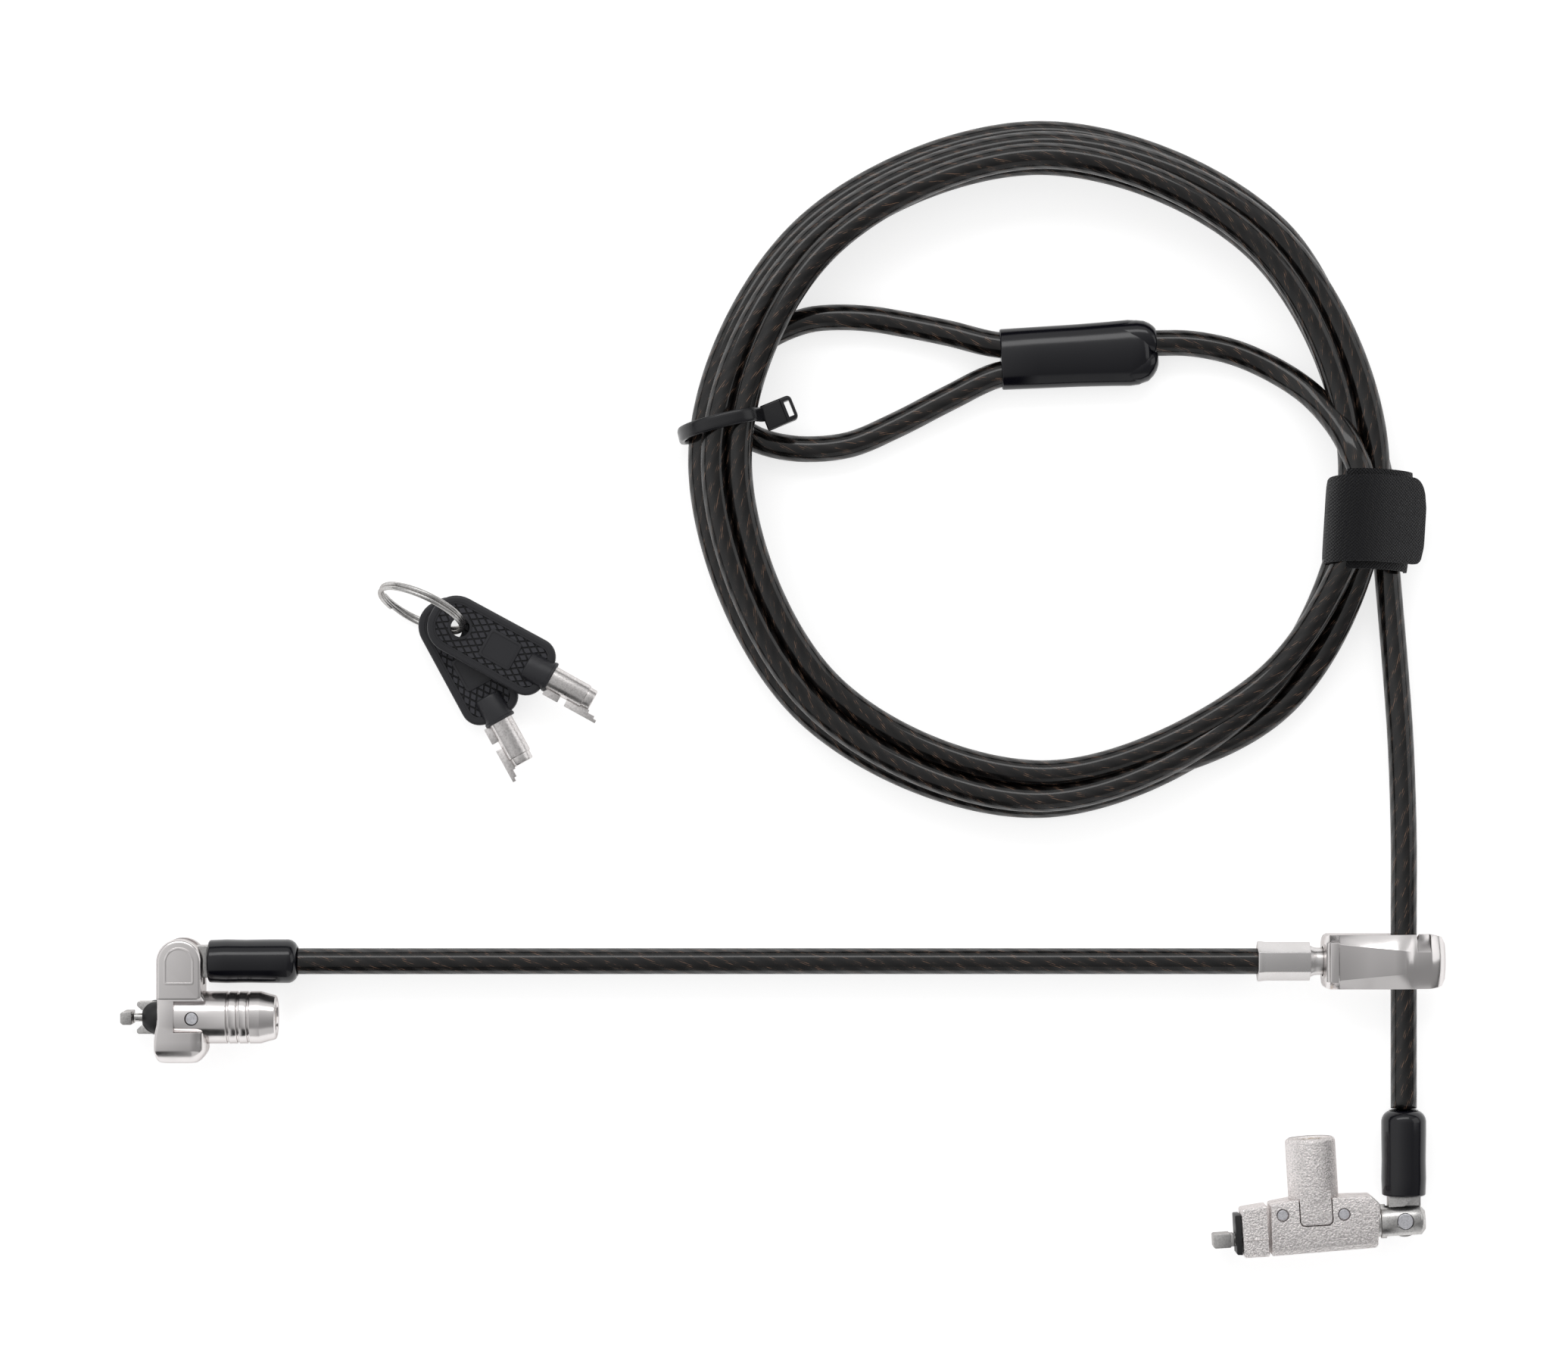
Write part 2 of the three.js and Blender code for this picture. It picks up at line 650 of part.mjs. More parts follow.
/** Moulded bow with a hole for the ring, a collar round the barrel and a sunk panel on each face. */
function keyBow() {
  const { back, front, halfWidth, thickness, hole } = BOW;
  const face = outline([
    [back, halfWidth, 5.4],
    [back, -halfWidth, 5.4],
    [front, -halfWidth, 4],
    [front, halfWidth, 4],
  ]);
  const half = thickness / 2;
  return carve(
    [plate(face, -half, half, 0.35, 6), rod('x', KEY_COLLAR.from, KEY_COLLAR.to, KEY_COLLAR.radius)],
    [rod('z', -3, 3, hole, [0, 0], 20), rod('x', 15.5, 30, KEY_BARREL.radius + GAP)],
  );
}

/** Tubular steel barrel with a stepped bit plate along one side. */
function keyBarrel() {
  const { to, radius, tip } = KEY_BARREL;
  const turned = turnedX([
    [15.8, 0],
    [15.8, radius],
    [to - 0.9, radius],
    [to - 0.9, tip],
    [to, tip],
    [to, 1.2],
    [to - 6, 1.2],
    [to - 6, 0],
  ], 24);
  const bit = [
    block([20.2, -3.4, -0.5], [23.2, -1.8, 0.5]),
    block([24.6, -3.6, -0.5], [to - 0.5, -1.8, 0.5]),
    block([to - 1.5, -3.6, -0.5], [to + 2.4, -2.3, 0.5]),
  ];
  return carve([turned, ...bit]);
}

const key = (name, { x, y, z, turn }) =>
  groupAt(x, y, z, turn, [
    piece(`${name}_bow`, keyBow(), moulded()),
    piece(`${name}_barrel`, keyBarrel(), steel()),
  ]);

/** Split ring of two turns, lying on each other, leaning on the keys it holds. */
function splitRing() {
  const { radius, wire, turn, lean } = KEY_RING;
  const section = new THREE.Shape();
  section.absarc(0, wire, wire, 0, Math.PI);
  section.absarc(0, -wire, wire, Math.PI, 2 * Math.PI);
  const points = section.extractPoints(3).shape;
  const profile = [...points, points[0]].map((point) => new THREE.Vector2(radius + point.x, point.y));
  const ring = new THREE.LatheGeometry(profile, 24).rotateX(Math.PI / 2);
  return ring.rotateX(radians(lean)).rotateZ(radians(turn));
}

function keys() {
  const ring = piece('split_ring', splitRing(), steel());
  return [
    groupAt(KEY_RING.x, KEY_RING.y, KEY_RING.z, 0, [ring]),
    key('key_a', KEY_A),
    key('key_b', KEY_B),
  ];
}

// The middle of the hard parts' footprint, which becomes the origin.
const FOOTPRINT_MIDDLE = { x: 0.05, y: 0.3 };

const lock = new THREE.Group();
lock.position.set(-FOOTPRINT_MIDDLE.x, -FOOTPRINT_MIDDLE.y, 0);
lock.add(...mainCableGroup(), head1(), ...anchorAndLink(), head2(), ...keys());

export default lock;
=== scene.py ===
"""Looks of the laptop cable lock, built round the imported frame; lengths are in millimetres until mm()."""

import math

import bmesh
import bpy
from mathutils import Matrix, Vector


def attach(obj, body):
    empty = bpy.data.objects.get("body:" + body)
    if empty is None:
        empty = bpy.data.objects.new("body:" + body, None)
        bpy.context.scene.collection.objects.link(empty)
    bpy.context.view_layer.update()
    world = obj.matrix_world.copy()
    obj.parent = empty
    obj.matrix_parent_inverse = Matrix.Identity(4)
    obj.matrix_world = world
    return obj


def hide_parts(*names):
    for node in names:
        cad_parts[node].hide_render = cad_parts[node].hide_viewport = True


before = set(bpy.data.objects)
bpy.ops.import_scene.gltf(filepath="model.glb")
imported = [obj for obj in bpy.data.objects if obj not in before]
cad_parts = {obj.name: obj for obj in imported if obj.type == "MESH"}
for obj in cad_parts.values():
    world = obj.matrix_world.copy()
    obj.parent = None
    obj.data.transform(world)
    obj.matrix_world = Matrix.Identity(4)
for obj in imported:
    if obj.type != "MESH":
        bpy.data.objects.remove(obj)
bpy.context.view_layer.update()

# ---- Units and places ----

MM = 0.001
FOOTPRINT_MIDDLE = Vector((0.05, 0.3, 0.0))  # layout point that lies over the frame's origin
AXIS_Z = 5.4  # height of the straight cables, both lock heads and the anchor
MAIN_X = 118.7
LINK_Y = -7.9
CABLE_RADIUS = 2.5


def mm(x, y, z=0.0):
    """A layout point in millimetres as a point of the frame in metres."""
    return (Vector((x, y, z)) - FOOTPRINT_MIDDLE) * MM


def place(x, y, z, turn=0.0):
    """Matrix that puts a piece made about its own origin at a layout point, turned about Z."""
    return Matrix.Translation(mm(x, y, z)) @ Matrix.Rotation(math.radians(turn), 4,
                                                             "Z") @ Matrix.Scale(MM, 4)


HEAD_1 = place(-115.2, LINK_Y, AXIS_Z)
BARREL_1 = place(-115.2, LINK_Y - 10.72, AXIS_Z)
HEAD_2 = place(MAIN_X, -57.4, AXIS_Z, 3.5)
ANCHOR = place(MAIN_X, LINK_Y, AXIS_Z)
LINK = place(0, LINK_Y, AXIS_Z)
SLEEVE = place(56.7, 108.1, 3.7, 3.0)
KEY_A = place(-61.8, 56.0, 6.6, -29.0)
KEY_B = place(-63.9, 55.5, 3.6, -61.0)


# ---- Camera ----

CAMERA_HEIGHT = 1000.0
VIEW_WIDTH = 300.1
SENSOR = 36.0


def add_camera():
    data = bpy.data.cameras.new("camera")
    data.sensor_width = SENSOR
    data.lens = SENSOR * (CAMERA_HEIGHT - AXIS_Z) / VIEW_WIDTH
    data.clip_start = 0.01
    camera = bpy.data.objects.new("camera", data)
    camera.location = mm(0.1, 46.2, CAMERA_HEIGHT)
    bpy.context.scene.collection.objects.link(camera)
    bpy.context.scene.camera = camera


add_camera()

# ---- Mesh helpers ----


def linked(name, bm):
    """A bmesh as an object of the scene; the bmesh is used up."""
    mesh = bpy.data.meshes.new(name)
    bm.to_mesh(mesh)
    bm.free()
    obj = bpy.data.objects.new(name, mesh)
    bpy.context.scene.collection.objects.link(obj)
    return obj


def raw(name, bm):
    """A clean piece in its own millimetre space, ready to be cut and rounded."""
    bmesh.ops.remove_doubles(bm, verts=bm.verts, dist=1e-6)
    bmesh.ops.recalc_face_normals(bm, faces=bm.faces)
    return linked(name, bm)


def apply_modifiers(obj):
    bpy.context.view_layer.update()
    graph = bpy.context.evaluated_depsgraph_get()
    mesh = bpy.data.meshes.new_from_object(obj.evaluated_get(graph))
    old = obj.data
    obj.modifiers.clear()
    obj.data = mesh
    bpy.data.meshes.remove(old)


def rounded(obj, width, segments=3, angle=35.0):
    """Round the sharp edges of a raw piece."""
    add = obj.modifiers.new("rounding", "BEVEL")
    add.width = width
    add.segments = segments
    add.limit_method = "ANGLE"
    add.angle_limit = math.radians(angle)
    apply_modifiers(obj)
    return obj


def cut(target, *cutters):
    """Cut helper pieces, which are used up, out of a raw piece."""
    for cutter in cutters:
        add = target.modifiers.new("cut", "BOOLEAN")
        add.operation = "DIFFERENCE"
        add.solver = "EXACT"
        add.object = cutter
    apply_modifiers(target)
    for cutter in cutters:
        bpy.data.objects.remove(cutter)
    return target


def merged(name, *parts):
    """Several raw pieces as one object, without joining their surfaces."""
    bm = bmesh.new()
    for part in parts:
        bm.from_mesh(part.data)
        bpy.data.objects.remove(part)
    return linked(name, bm)


def finished(obj, material, matrix=None, angle=40.0):
    """Shade a raw piece, give it its material and put it at its place in the frame."""
    obj.data.materials.clear()
    obj.data.materials.append(material)
    for polygon in obj.data.polygons:
        polygon.use_smooth = True
        polygon.material_index = 0
    obj.data.set_sharp_from_angle(angle=math.radians(angle))
    if matrix is not None:
        obj.data.transform(matrix)
    return obj


def rounded_outline(corners, steps=6):
    """Outline points of a polygon whose corners, each [x, y, radius], are rounded with arcs."""
    points = []
    count = len(corners)
    for i, (x, y, radius) in enumerate(corners):
        corner = Vector((x, y))
        before = Vector(corners[i - 1][:2]) - corner
        after = Vector(corners[(i + 1) % count][:2]) - corner
        if radius <= 0:
            points.append(corner)
            continue
        half = before.angle(after) / 2
        reach = radius / math.tan(half)
        inward = (before.normalized() + after.normalized()).normalized()
        middle = corner + inward * (radius / math.sin(half))
        first = corner + before.normalized() * reach - middle
        last = corner + after.normalized() * reach - middle
        sweep = first.angle_signed(last)
        for k in range(steps + 1):
            points.append(middle + Matrix.Rotation(-sweep * k / steps, 2) @ first)
    return points


def prism(points, low, high, bm=None):
    """A straight prism on a flat outline, from one height to another."""
    bm = bm or bmesh.new()
    base = [bm.verts.new((p[0], p[1], low)) for p in points]
    top = [bm.verts.new((p[0], p[1], high)) for p in points]
    bm.faces.new(base[::-1])
    bm.faces.new(top)
    for i in range(len(points)):
        j = (i + 1) % len(points)
        bm.faces.new((base[i], base[j], top[j], top[i]))
    return bm


def box(low, high, bm=None):
    corners = [(low[0], low[1]), (high[0], low[1]), (high[0], high[1]), (low[0], high[1])]
    return prism(corners, low[2], high[2], bm)


def turned(profile, axis="x", sides=64):
    """A turned piece: a closed profile of [place along the axis, radius] points, on the axis or not."""
    bm = bmesh.new()
    rings = []
    for along, radius in profile:
        ring = []
        for k in range(sides):
            angle = 2 * math.pi * k / sides
            a = radius * math.cos(angle)
            b = radius * math.sin(angle)
            spot = {"x": (along, a, b), "y": (b, along, a), "z": (a, b, along)}[axis]
            ring.append(bm.verts.new(spot))
            if radius == 0:
                break
        rings.append(ring)
    for ring, after in zip(rings, rings[1:]):
        for k in range(sides):
            quad = [ring[k % len(ring)], ring[(k + 1) % len(ring)], after[(k + 1) % len(after)],
                    after[k % len(after)]]
            unique = list(dict.fromkeys(quad))
            if len(unique) > 2:
                bm.faces.new(unique)
    return bm


def rod(start, stop, radius, axis="x", sides=64, at=(0, 0, 0)):
    """A plain round rod along an axis, for shafts and for bores."""
    bm = turned([[start, 0], [start, radius], [stop, radius], [stop, 0]], axis, sides)
    bmesh.ops.translate(bm, verts=bm.verts, vec=at)
    return bm


def skin(bm, rings):
    """Faces between closed rings of vertices, and over the first and the last ring."""
    for ring, after in zip(rings, rings[1:]):
        for k in range(len(ring)):
            j = (k + 1) % len(ring)
            bm.faces.new((ring[k], ring[j], after[j], after[k]))
    bm.faces.new(rings[0][::-1])
    bm.faces.new(rings[-1])
    return bm


def arc(middle, radius, start, stop, steps):
    """Points [along, radius] of a rounded edge in a turned profile, angles in degrees."""
    angles = [math.radians(start + (stop - start) * k / steps) for k in range(steps + 1)]
    return [[middle[0] + radius * math.cos(a), middle[1] + radius * math.sin(a)] for a in angles]


def spline(points, gap):
    """Points about gap apart on a smooth centripetal curve through the given ones."""
    ends = [2 * points[0] - points[1]] + points + [2 * points[-1] - points[-2]]
    smooth = []
    for a, b, c, d in zip(ends, ends[1:], ends[2:], ends[3:]):
        t1 = math.sqrt((b - a).length)
        t2 = t1 + math.sqrt((c - b).length)
        t3 = t2 + math.sqrt((d - c).length)
        steps = max(2, round((c - b).length / gap))
        for k in range(steps):
            t = t1 + (t2 - t1) * k / steps
            ab = a + (b - a) * (t / t1)
            bc = b + (c - b) * ((t - t1) / (t2 - t1))
            cd = c + (d - c) * ((t - t2) / (t3 - t2))
            abc = ab + (bc - ab) * (t / t2)
            bcd = bc + (cd - bc) * ((t - t1) / (t3 - t1))
            smooth.append(abc + (bcd - abc) * ((t - t1) / (t2 - t1)))
    smooth.append(points[-1])
    return smooth


def tube(name, path, radius, material, sides=20):
    """A round tube along a path in metres, with a UV map: turns round the tube, and metres along it."""
    bm = bmesh.new()
    uv = bm.loops.layers.uv.new("UVMap")
    side = (path[1] - path[0]).orthogonal().normalized()
    rings = []
    run = 0.0
    for i, point in enumerate(path):
        ahead = (path[min(i + 1, len(path) - 1)] - path[max(i - 1, 0)]).normalized()
        side = (side - ahead * side.dot(ahead)).normalized()
        up = ahead.cross(side)
        if i:
            run += (point - path[i - 1]).length
        ring = []
        for k in range(sides):
            angle = 2 * math.pi * k / sides
            ring.append(bm.verts.new(point + (side * math.cos(angle) + up * math.sin(angle)) * radius))
        rings.append((ring, run))
    for (ring, start), (after, stop) in zip(rings, rings[1:]):
        for k in range(sides):
            j = (k + 1) % sides
            face = bm.faces.new((ring[k], ring[j], after[j], after[k]))
            face.smooth = True
            spots = [(k / sides, start), ((k + 1) / sides, start), ((k + 1) / sides, stop),
                     (k / sides, stop)]
            for loop, spot in zip(face.loops, spots):
                loop[uv].uv = spot
    bm.faces.new(rings[0][0][::-1])
    bm.faces.new(rings[-1][0])
    obj = linked(name, bm)
    obj.data.materials.append(material)
    return obj


def rides(obj, body, slot, *nodes):
    """Give a finished piece its body, and hide the CAD nodes it stands for; slot is not used."""
    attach(obj, body)
    if nodes:
        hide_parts(*nodes)
    return obj

# ---- Materials ----


RIM_TINT = (0.6, 0.58, 0.57, 1.0)
GRAIN_SCALE = 2600.0
LAY = 0.033  # metres of cable in which a strand goes once round
STRANDS = 7
WIRES = 44
KNURL_PITCH = 1.25
THREAD_GAP = 0.00062


class Nodes:
    """A node tree with short ways to add a node."""

    def __init__(self, owner):
        owner.use_nodes = True
        self.tree = owner.node_tree

    def node(self, kind, inputs=None, **settings):
        node = self.tree.nodes.new(kind)
        for key, value in settings.items():
            setattr(node, key, value)
        for key, value in (inputs or {}).items():
            if isinstance(value, bpy.types.NodeSocket):
                self.tree.links.new(value, node.inputs[key])
            else:
                node.inputs[key].default_value = value
        return node

    def math(self, operation, *values):
        return self.node("ShaderNodeMath", dict(enumerate(values)), operation=operation).outputs[0]

    def spread(self, value, low, high, to_low=0.0, to_high=1.0):
        """A number mapped from one range to another, held at both ends."""
        inputs = {"Value": value, "From Min": low, "From Max": high, "To Min": to_low, "To Max": to_high}
        return self.node("ShaderNodeMapRange", inputs).outputs[0]


class Shader(Nodes):
    """One node material."""

    def __init__(self, name, color, roughness, metallic=0.0, **sockets):
        self.material = bpy.data.materials.new(name)
        super().__init__(self.material)
        self.surface = self.tree.nodes["Principled BSDF"]
        self.surface.inputs["Base Color"].default_value = (*color, 1.0)
        self.surface.inputs["Roughness"].default_value = roughness
        self.surface.inputs["Metallic"].default_value = metallic
        for socket, value in sockets.items():
            self.surface.inputs[socket.replace("_", " ")].default_value = value
        self.normal = None

    def place(self):
        return self.node("ShaderNodeTexCoord").outputs["Object"]

    def noise(self, scale, detail=3.0, vector=None, rough=0.5):
        inputs = {"Vector": vector or self.place(), "Scale": scale, "Detail": detail, "Roughness": rough}
        return self.node("ShaderNodeTexNoise", inputs).outputs["Fac"]

    def vary_roughness(self, value, low, high):
        self.tree.links.new(self.spread(value, 0.3, 0.7, low, high), self.surface.inputs["Roughness"])

    def mix_color(self, value, first, second):
        mix = self.node("ShaderNodeMix", data_type="RGBA")
        self.tree.links.new(value, mix.inputs[0])
        for slot, color in ((6, first), (7, second)):
            if isinstance(color, bpy.types.NodeSocket):
                self.tree.links.new(color, mix.inputs[slot])
            else:
                mix.inputs[slot].default_value = (*color, 1.0)
        return mix.outputs[2]

    def paint(self, color):
        self.tree.links.new(color, self.surface.inputs["Base Color"])

    def bump(self, height, distance):
        """Fine relief, laid over any relief set before it."""
        inputs = {"Height": height, "Distance": distance, "Strength": 1.0}
        node = self.node("ShaderNodeBump", inputs)
        if self.normal:
            self.tree.links.new(self.normal, node.inputs["Normal"])
        self.normal = node.outputs[0]
        self.tree.links.new(self.normal, self.surface.inputs["Normal"])


def sheath_material():
    """Smoked clear sheath over a dark twisted strand under a smooth glossy coat; the thin copper glints of
    its wires are a painted highlight, and the strands are painted lighter on their crowns and darker in the
    valleys between them, as painted light and shade.
    """
    shader = Shader("cable_sheath", (0.01, 0.008, 0.007), 0.4, Coat_Weight=0.45, Coat_Roughness=0.12,
                    Coat_IOR=1.85, Specular_IOR_Level=0.08)
    uv = shader.node("ShaderNodeUVMap").outputs[0]
    split = shader.node("ShaderNodeSeparateXYZ", {"Vector": uv})
    along = shader.math("DIVIDE", split.outputs[1], LAY)
    helix = shader.math("SUBTRACT", split.outputs[0], along)
    wobble = shader.math("MULTIPLY", shader.noise(240.0, 2.0), 0.22)
    lines = shader.math("ADD", shader.math("MULTIPLY", helix, STRANDS), wobble)
    crown = shader.math("SINE", shader.math("MULTIPLY", lines, 2 * math.pi))
    slant = shader.math("SUBTRACT", split.outputs[0], shader.math("DIVIDE", split.outputs[1], LAY * 1.35))
    wires = shader.math("ADD", shader.math("MULTIPLY", slant, WIRES),
                        shader.math("MULTIPLY", shader.noise(420.0), 0.9))
    wire = shader.math("SINE", shader.math("MULTIPLY", wires, 2 * math.pi))
    streak = {0: shader.math("MULTIPLY", slant, 26.0), 1: shader.math("MULTIPLY", split.outputs[1], 520.0)}
    streak_place = shader.node("ShaderNodeCombineXYZ", streak).outputs[0]
    patch = shader.spread(shader.noise(1.0, 2.0, streak_place), 0.5, 0.64)
    # Painted highlight: thin copper glints of the wires are painted into the colour, in patches, where the
    # wires cross the strand crowns.
    painted_glint_mask = shader.math("MULTIPLY", shader.spread(crown, -0.1, 0.9), shader.spread(wire, 0.3, 0.95))
    painted_glint = shader.math("MULTIPLY", painted_glint_mask, patch)
    # Painted light and shade: the strand's dark tone is painted lighter on its crowns and near black in the
    # valleys between strands.
    body = shader.mix_color(shader.spread(crown, -1.0, 1.0), (0.0008, 0.0007, 0.0008),
                            (0.008, 0.006, 0.0055))
    shader.paint(shader.mix_color(painted_glint, body, (0.25, 0.145, 0.095)))
    shader.bump(crown, 0.00009)
    return shader.material


def nickel(name, color, rough_low, rough_high, grain=0.0):
    """Plated or bare metal, a little duller at its rims; grain gives it a blasted, speckled face."""
    shader = Shader(name, color, rough_low, 1.0, Specular_Tint=RIM_TINT)
    shader.vary_roughness(shader.noise(220.0, 4.0), rough_low, rough_high)
    if grain:
        grit = shader.noise(GRAIN_SCALE, 3.0, rough=0.6)
        dark = tuple(0.78 * c for c in color)
        shader.paint(shader.mix_color(shader.spread(grit, 0.36, 0.56), dark, color))
        shader.bump(grit, grain)
    shader.bump(shader.noise(120.0, 1.0), 0.00003)
    return shader.material


def vinyl_material():
    """Glossy black moulded vinyl, its face a little wavy."""
    shader = Shader("black_vinyl", (0.003, 0.003, 0.006), 0.2, Coat_Weight=0.45, Coat_Roughness=0.16,
                    Coat_IOR=1.75, Specular_IOR_Level=0.1)
    shader.vary_roughness(shader.noise(300.0, 3.0), 0.12, 0.24)
    shader.bump(shader.noise(120.0, 1.0), 0.00012)
    return shader.material


def plastic_material(name, color, low, high, grain, scales=(500.0, 4200.0)):
    """Dull plastic or rubber; the scales are those of its sheen and of its grain."""
    shader = Shader(name, color, low)
    shader.vary_roughness(shader.noise(scales[0], 3.0), low, high)
    shader.bump(shader.noise(scales[1], 2.0), grain)
    return shader.material


def grip_material():
    """Moulded plastic with knurled diamonds, cut by two crossing families of grooves; the grooves are
    painted darker than the crests as painted shade.
    """
    shader = Shader("knurled_plastic", (0.012, 0.012, 0.015), 0.5)
    split = shader.node("ShaderNodeSeparateXYZ", {"Vector": shader.node("ShaderNodeUVMap").outputs[0]})
    lean = math.radians(34)
    along = shader.math("MULTIPLY", split.outputs[0], math.sin(lean) / KNURL_PITCH)
    across = shader.math("MULTIPLY", split.outputs[1], math.cos(lean) / KNURL_PITCH)
    first = shader.math("PINGPONG", shader.math("ADD", along, across), 0.5)
    second = shader.math("PINGPONG", shader.math("SUBTRACT", along, across), 0.5)
    crest = shader.spread(shader.math("MINIMUM", first, second), 0.03, 0.15)
    # Painted shade: the grooves are painted near black and the crests lighter; the same mask gives the
    # bump.
    shader.paint(shader.mix_color(crest, (0.001, 0.001, 0.0014), (0.036, 0.036, 0.044)))
    shader.vary_roughness(shader.noise(900.0, 3.0), 0.42, 0.6)
    shader.bump(crest, 0.00028)
    shader.bump(shader.noise(4200.0, 2.0), 0.00001)
    return shader.material


def webbing_material():
    """Black woven tape: fine warp ribs along it, with a coarse broken twill between the selvedges; its
    colour follows the relief, so the gaps between the threads are painted darker as painted shade, and a
    fuzz gives the threads a random tone.
    """
    shader = Shader("black_webbing", (0.008, 0.008, 0.011), 0.85, Sheen_Weight=0.07, Sheen_Roughness=0.4)
    split = shader.node("ShaderNodeSeparateXYZ", {"Vector": shader.place()})
    across = shader.math("MULTIPLY", split.outputs[0], 2 * math.pi / THREAD_GAP)
    along = shader.math("MULTIPLY", split.outputs[1], 2 * math.pi / THREAD_GAP)
    jitter = shader.math("MULTIPLY", shader.noise(900.0, 2.0), 3.2)
    rib = shader.math("SINE", shader.math("ADD", across, jitter))
    pick = shader.math("SINE", shader.math("ADD", along, jitter))
    twill = shader.math("SINE", shader.math("ADD", shader.math("MULTIPLY", across, 0.5),
                                            shader.math("MULTIPLY", along, 0.9)))
    weave = shader.math("MULTIPLY", rib, shader.math("ADD", pick, shader.math("MULTIPLY", twill, 0.6)))
    fuzz = shader.noise(2600.0, 3.0)
    relief = shader.math("ADD", weave, shader.math("MULTIPLY", fuzz, 1.2))
    # Partly painted shade: the gaps between the threads are painted darker, while the fuzz gives the
    # threads a random tone.
    shader.paint(shader.mix_color(shader.spread(relief, -0.6, 2.0), (0.0008, 0.0008, 0.0014),
                                  (0.0105, 0.0105, 0.0145)))
    shader.bump(relief, 0.00022)
    return shader.material


SHEATH = sheath_material()
BRIGHT = nickel("bright_nickel", (0.80, 0.77, 0.765), 0.16, 0.27)
SATIN = nickel("satin_nickel", (0.96, 0.915, 0.905), 0.2, 0.3, grain=0.00026)
STEEL = nickel("steel", (0.60, 0.59, 0.58), 0.2, 0.34, grain=0.000008)
BRASS = nickel("brass", (0.50, 0.36, 0.15), 0.25, 0.4)
KEY_STEEL = nickel("key_steel", (0.86, 0.83, 0.82), 0.26, 0.36, grain=0.00001)
PIN_STEEL = nickel("pin_steel", (0.80, 0.80, 0.84), 0.42, 0.5, grain=0.00001)
CRIMP = nickel("crimp_aluminium", (0.74, 0.72, 0.715), 0.22, 0.32)
VINYL = vinyl_material()
RUBBER = plastic_material("black_rubber", (0.012, 0.012, 0.013), 0.42, 0.62, 0.00001, (700.0, 3000.0))
MOULDED = plastic_material("moulded_plastic", (0.018, 0.018, 0.022), 0.38, 0.52, 0.00001)
GRIP = grip_material()
WEBBING = webbing_material()
NYLON = plastic_material("black_nylon", (0.006, 0.006, 0.008), 0.22, 0.34, 0.000004)

# ---- Cables ----

COIL_MIDDLE = (49.4, 86.4)
PATH_STEP = 1.6

# Each turn of the coil, as [degrees, radius, height]: the strands lie in two layers, over the loop.
TURNS = [
    [[0, 64.8, 2.6], [45, 64.5, 2.6], [90, 64.3, 2.6], [135, 64.6, 3.2], [178, 65.2, 6.3], [225, 64.8, 3.2],
     [270, 64.5, 2.6], [315, 61.5, 2.6]],
    [[0, 59.7, 2.6], [45, 59.2, 2.6], [90, 58.9, 2.6], [135, 59.6, 3.6], [178, 60.2, 7.3], [225, 59.8, 3.6],
     [270, 59.5, 2.6], [315, 64.6, 4.6]],
    [[0, 63.9, 7.5], [45, 63.0, 7.4], [90, 61.9, 7.0], [135, 61.9, 8.4], [178, 62.7, 11.5],
     [225, 62.8, 8.4], [270, 63.2, 7.5], [315, 60.2, 7.4]],
    [[0, 59.0, 7.6], [45, 59.0, 9.8], [90, 59.3, 11.2], [135, 58.6, 11.6], [178, 57.9, 12.0],
     [225, 58.0, 8.6], [270, 58.3, 7.5], [315, 58.6, 8.6], [343, 60.2, 11.6]],
]
STRAIGHT_ROUTE = [(MAIN_X, -36.0, 5.4), (MAIN_X, -20, 5.4), (MAIN_X, 0, 5.4), (MAIN_X, 16, 5.4),
                  (118.2, 34, 4.6), (117.3, 48, 3.8), (116.3, 61, 3.0), (115.4, 72, 2.6)]
TAIL_ROUTE = [(110.2, 83.0, 12.0), (108.2, 89.6, 11.2), (105.6, 94.8, 8.6), (100.9, 100.6, 5.0),
              (94.8, 105.0, 3.0), (86.7, 108.7, 2.6), (78.4, 110.4, 3.2), (72.0, 110.5, 3.7),
              (56.7, 109.9, 3.7), (41.4, 110.1, 3.7)]
LOOP_ROUTE = [(31.7, 112.4, 3.2), (22.9, 114.2, 2.6), (16.7, 115.2, 2.6), (10.3, 115.5, 2.6),
              (4.4, 114.9, 2.6), (-3.0, 111.8, 2.6), (-9.2, 106.8, 2.6), (-11.6, 101.0, 2.6),
              (-10.2, 95.8, 2.6), (-6.2, 92.6, 2.6), (-1.9, 91.0, 2.6), (4.5, 90.2, 2.6), (12.8, 91.1, 2.6),
              (21.6, 94.8, 2.6), (31.6, 99.9, 3.2), (41.2, 104.4, 3.7), (50.0, 105.4, 3.7)]
LINK_ROUTE = [(-94.0, LINK_Y, 5.4), (-60, LINK_Y, 5.3), (0, LINK_Y, 5.2), (60, LINK_Y, 5.3),
              (92.0, LINK_Y, 5.4)]


def coil_route():
    points = []
    for turn in TURNS:
        for degrees, radius, height in turn:
            angle = math.radians(degrees)
            x = COIL_MIDDLE[0] + radius * math.cos(angle)
            y = COIL_MIDDLE[1] + radius * math.sin(angle)
            points.append((x, y, height))
    return points


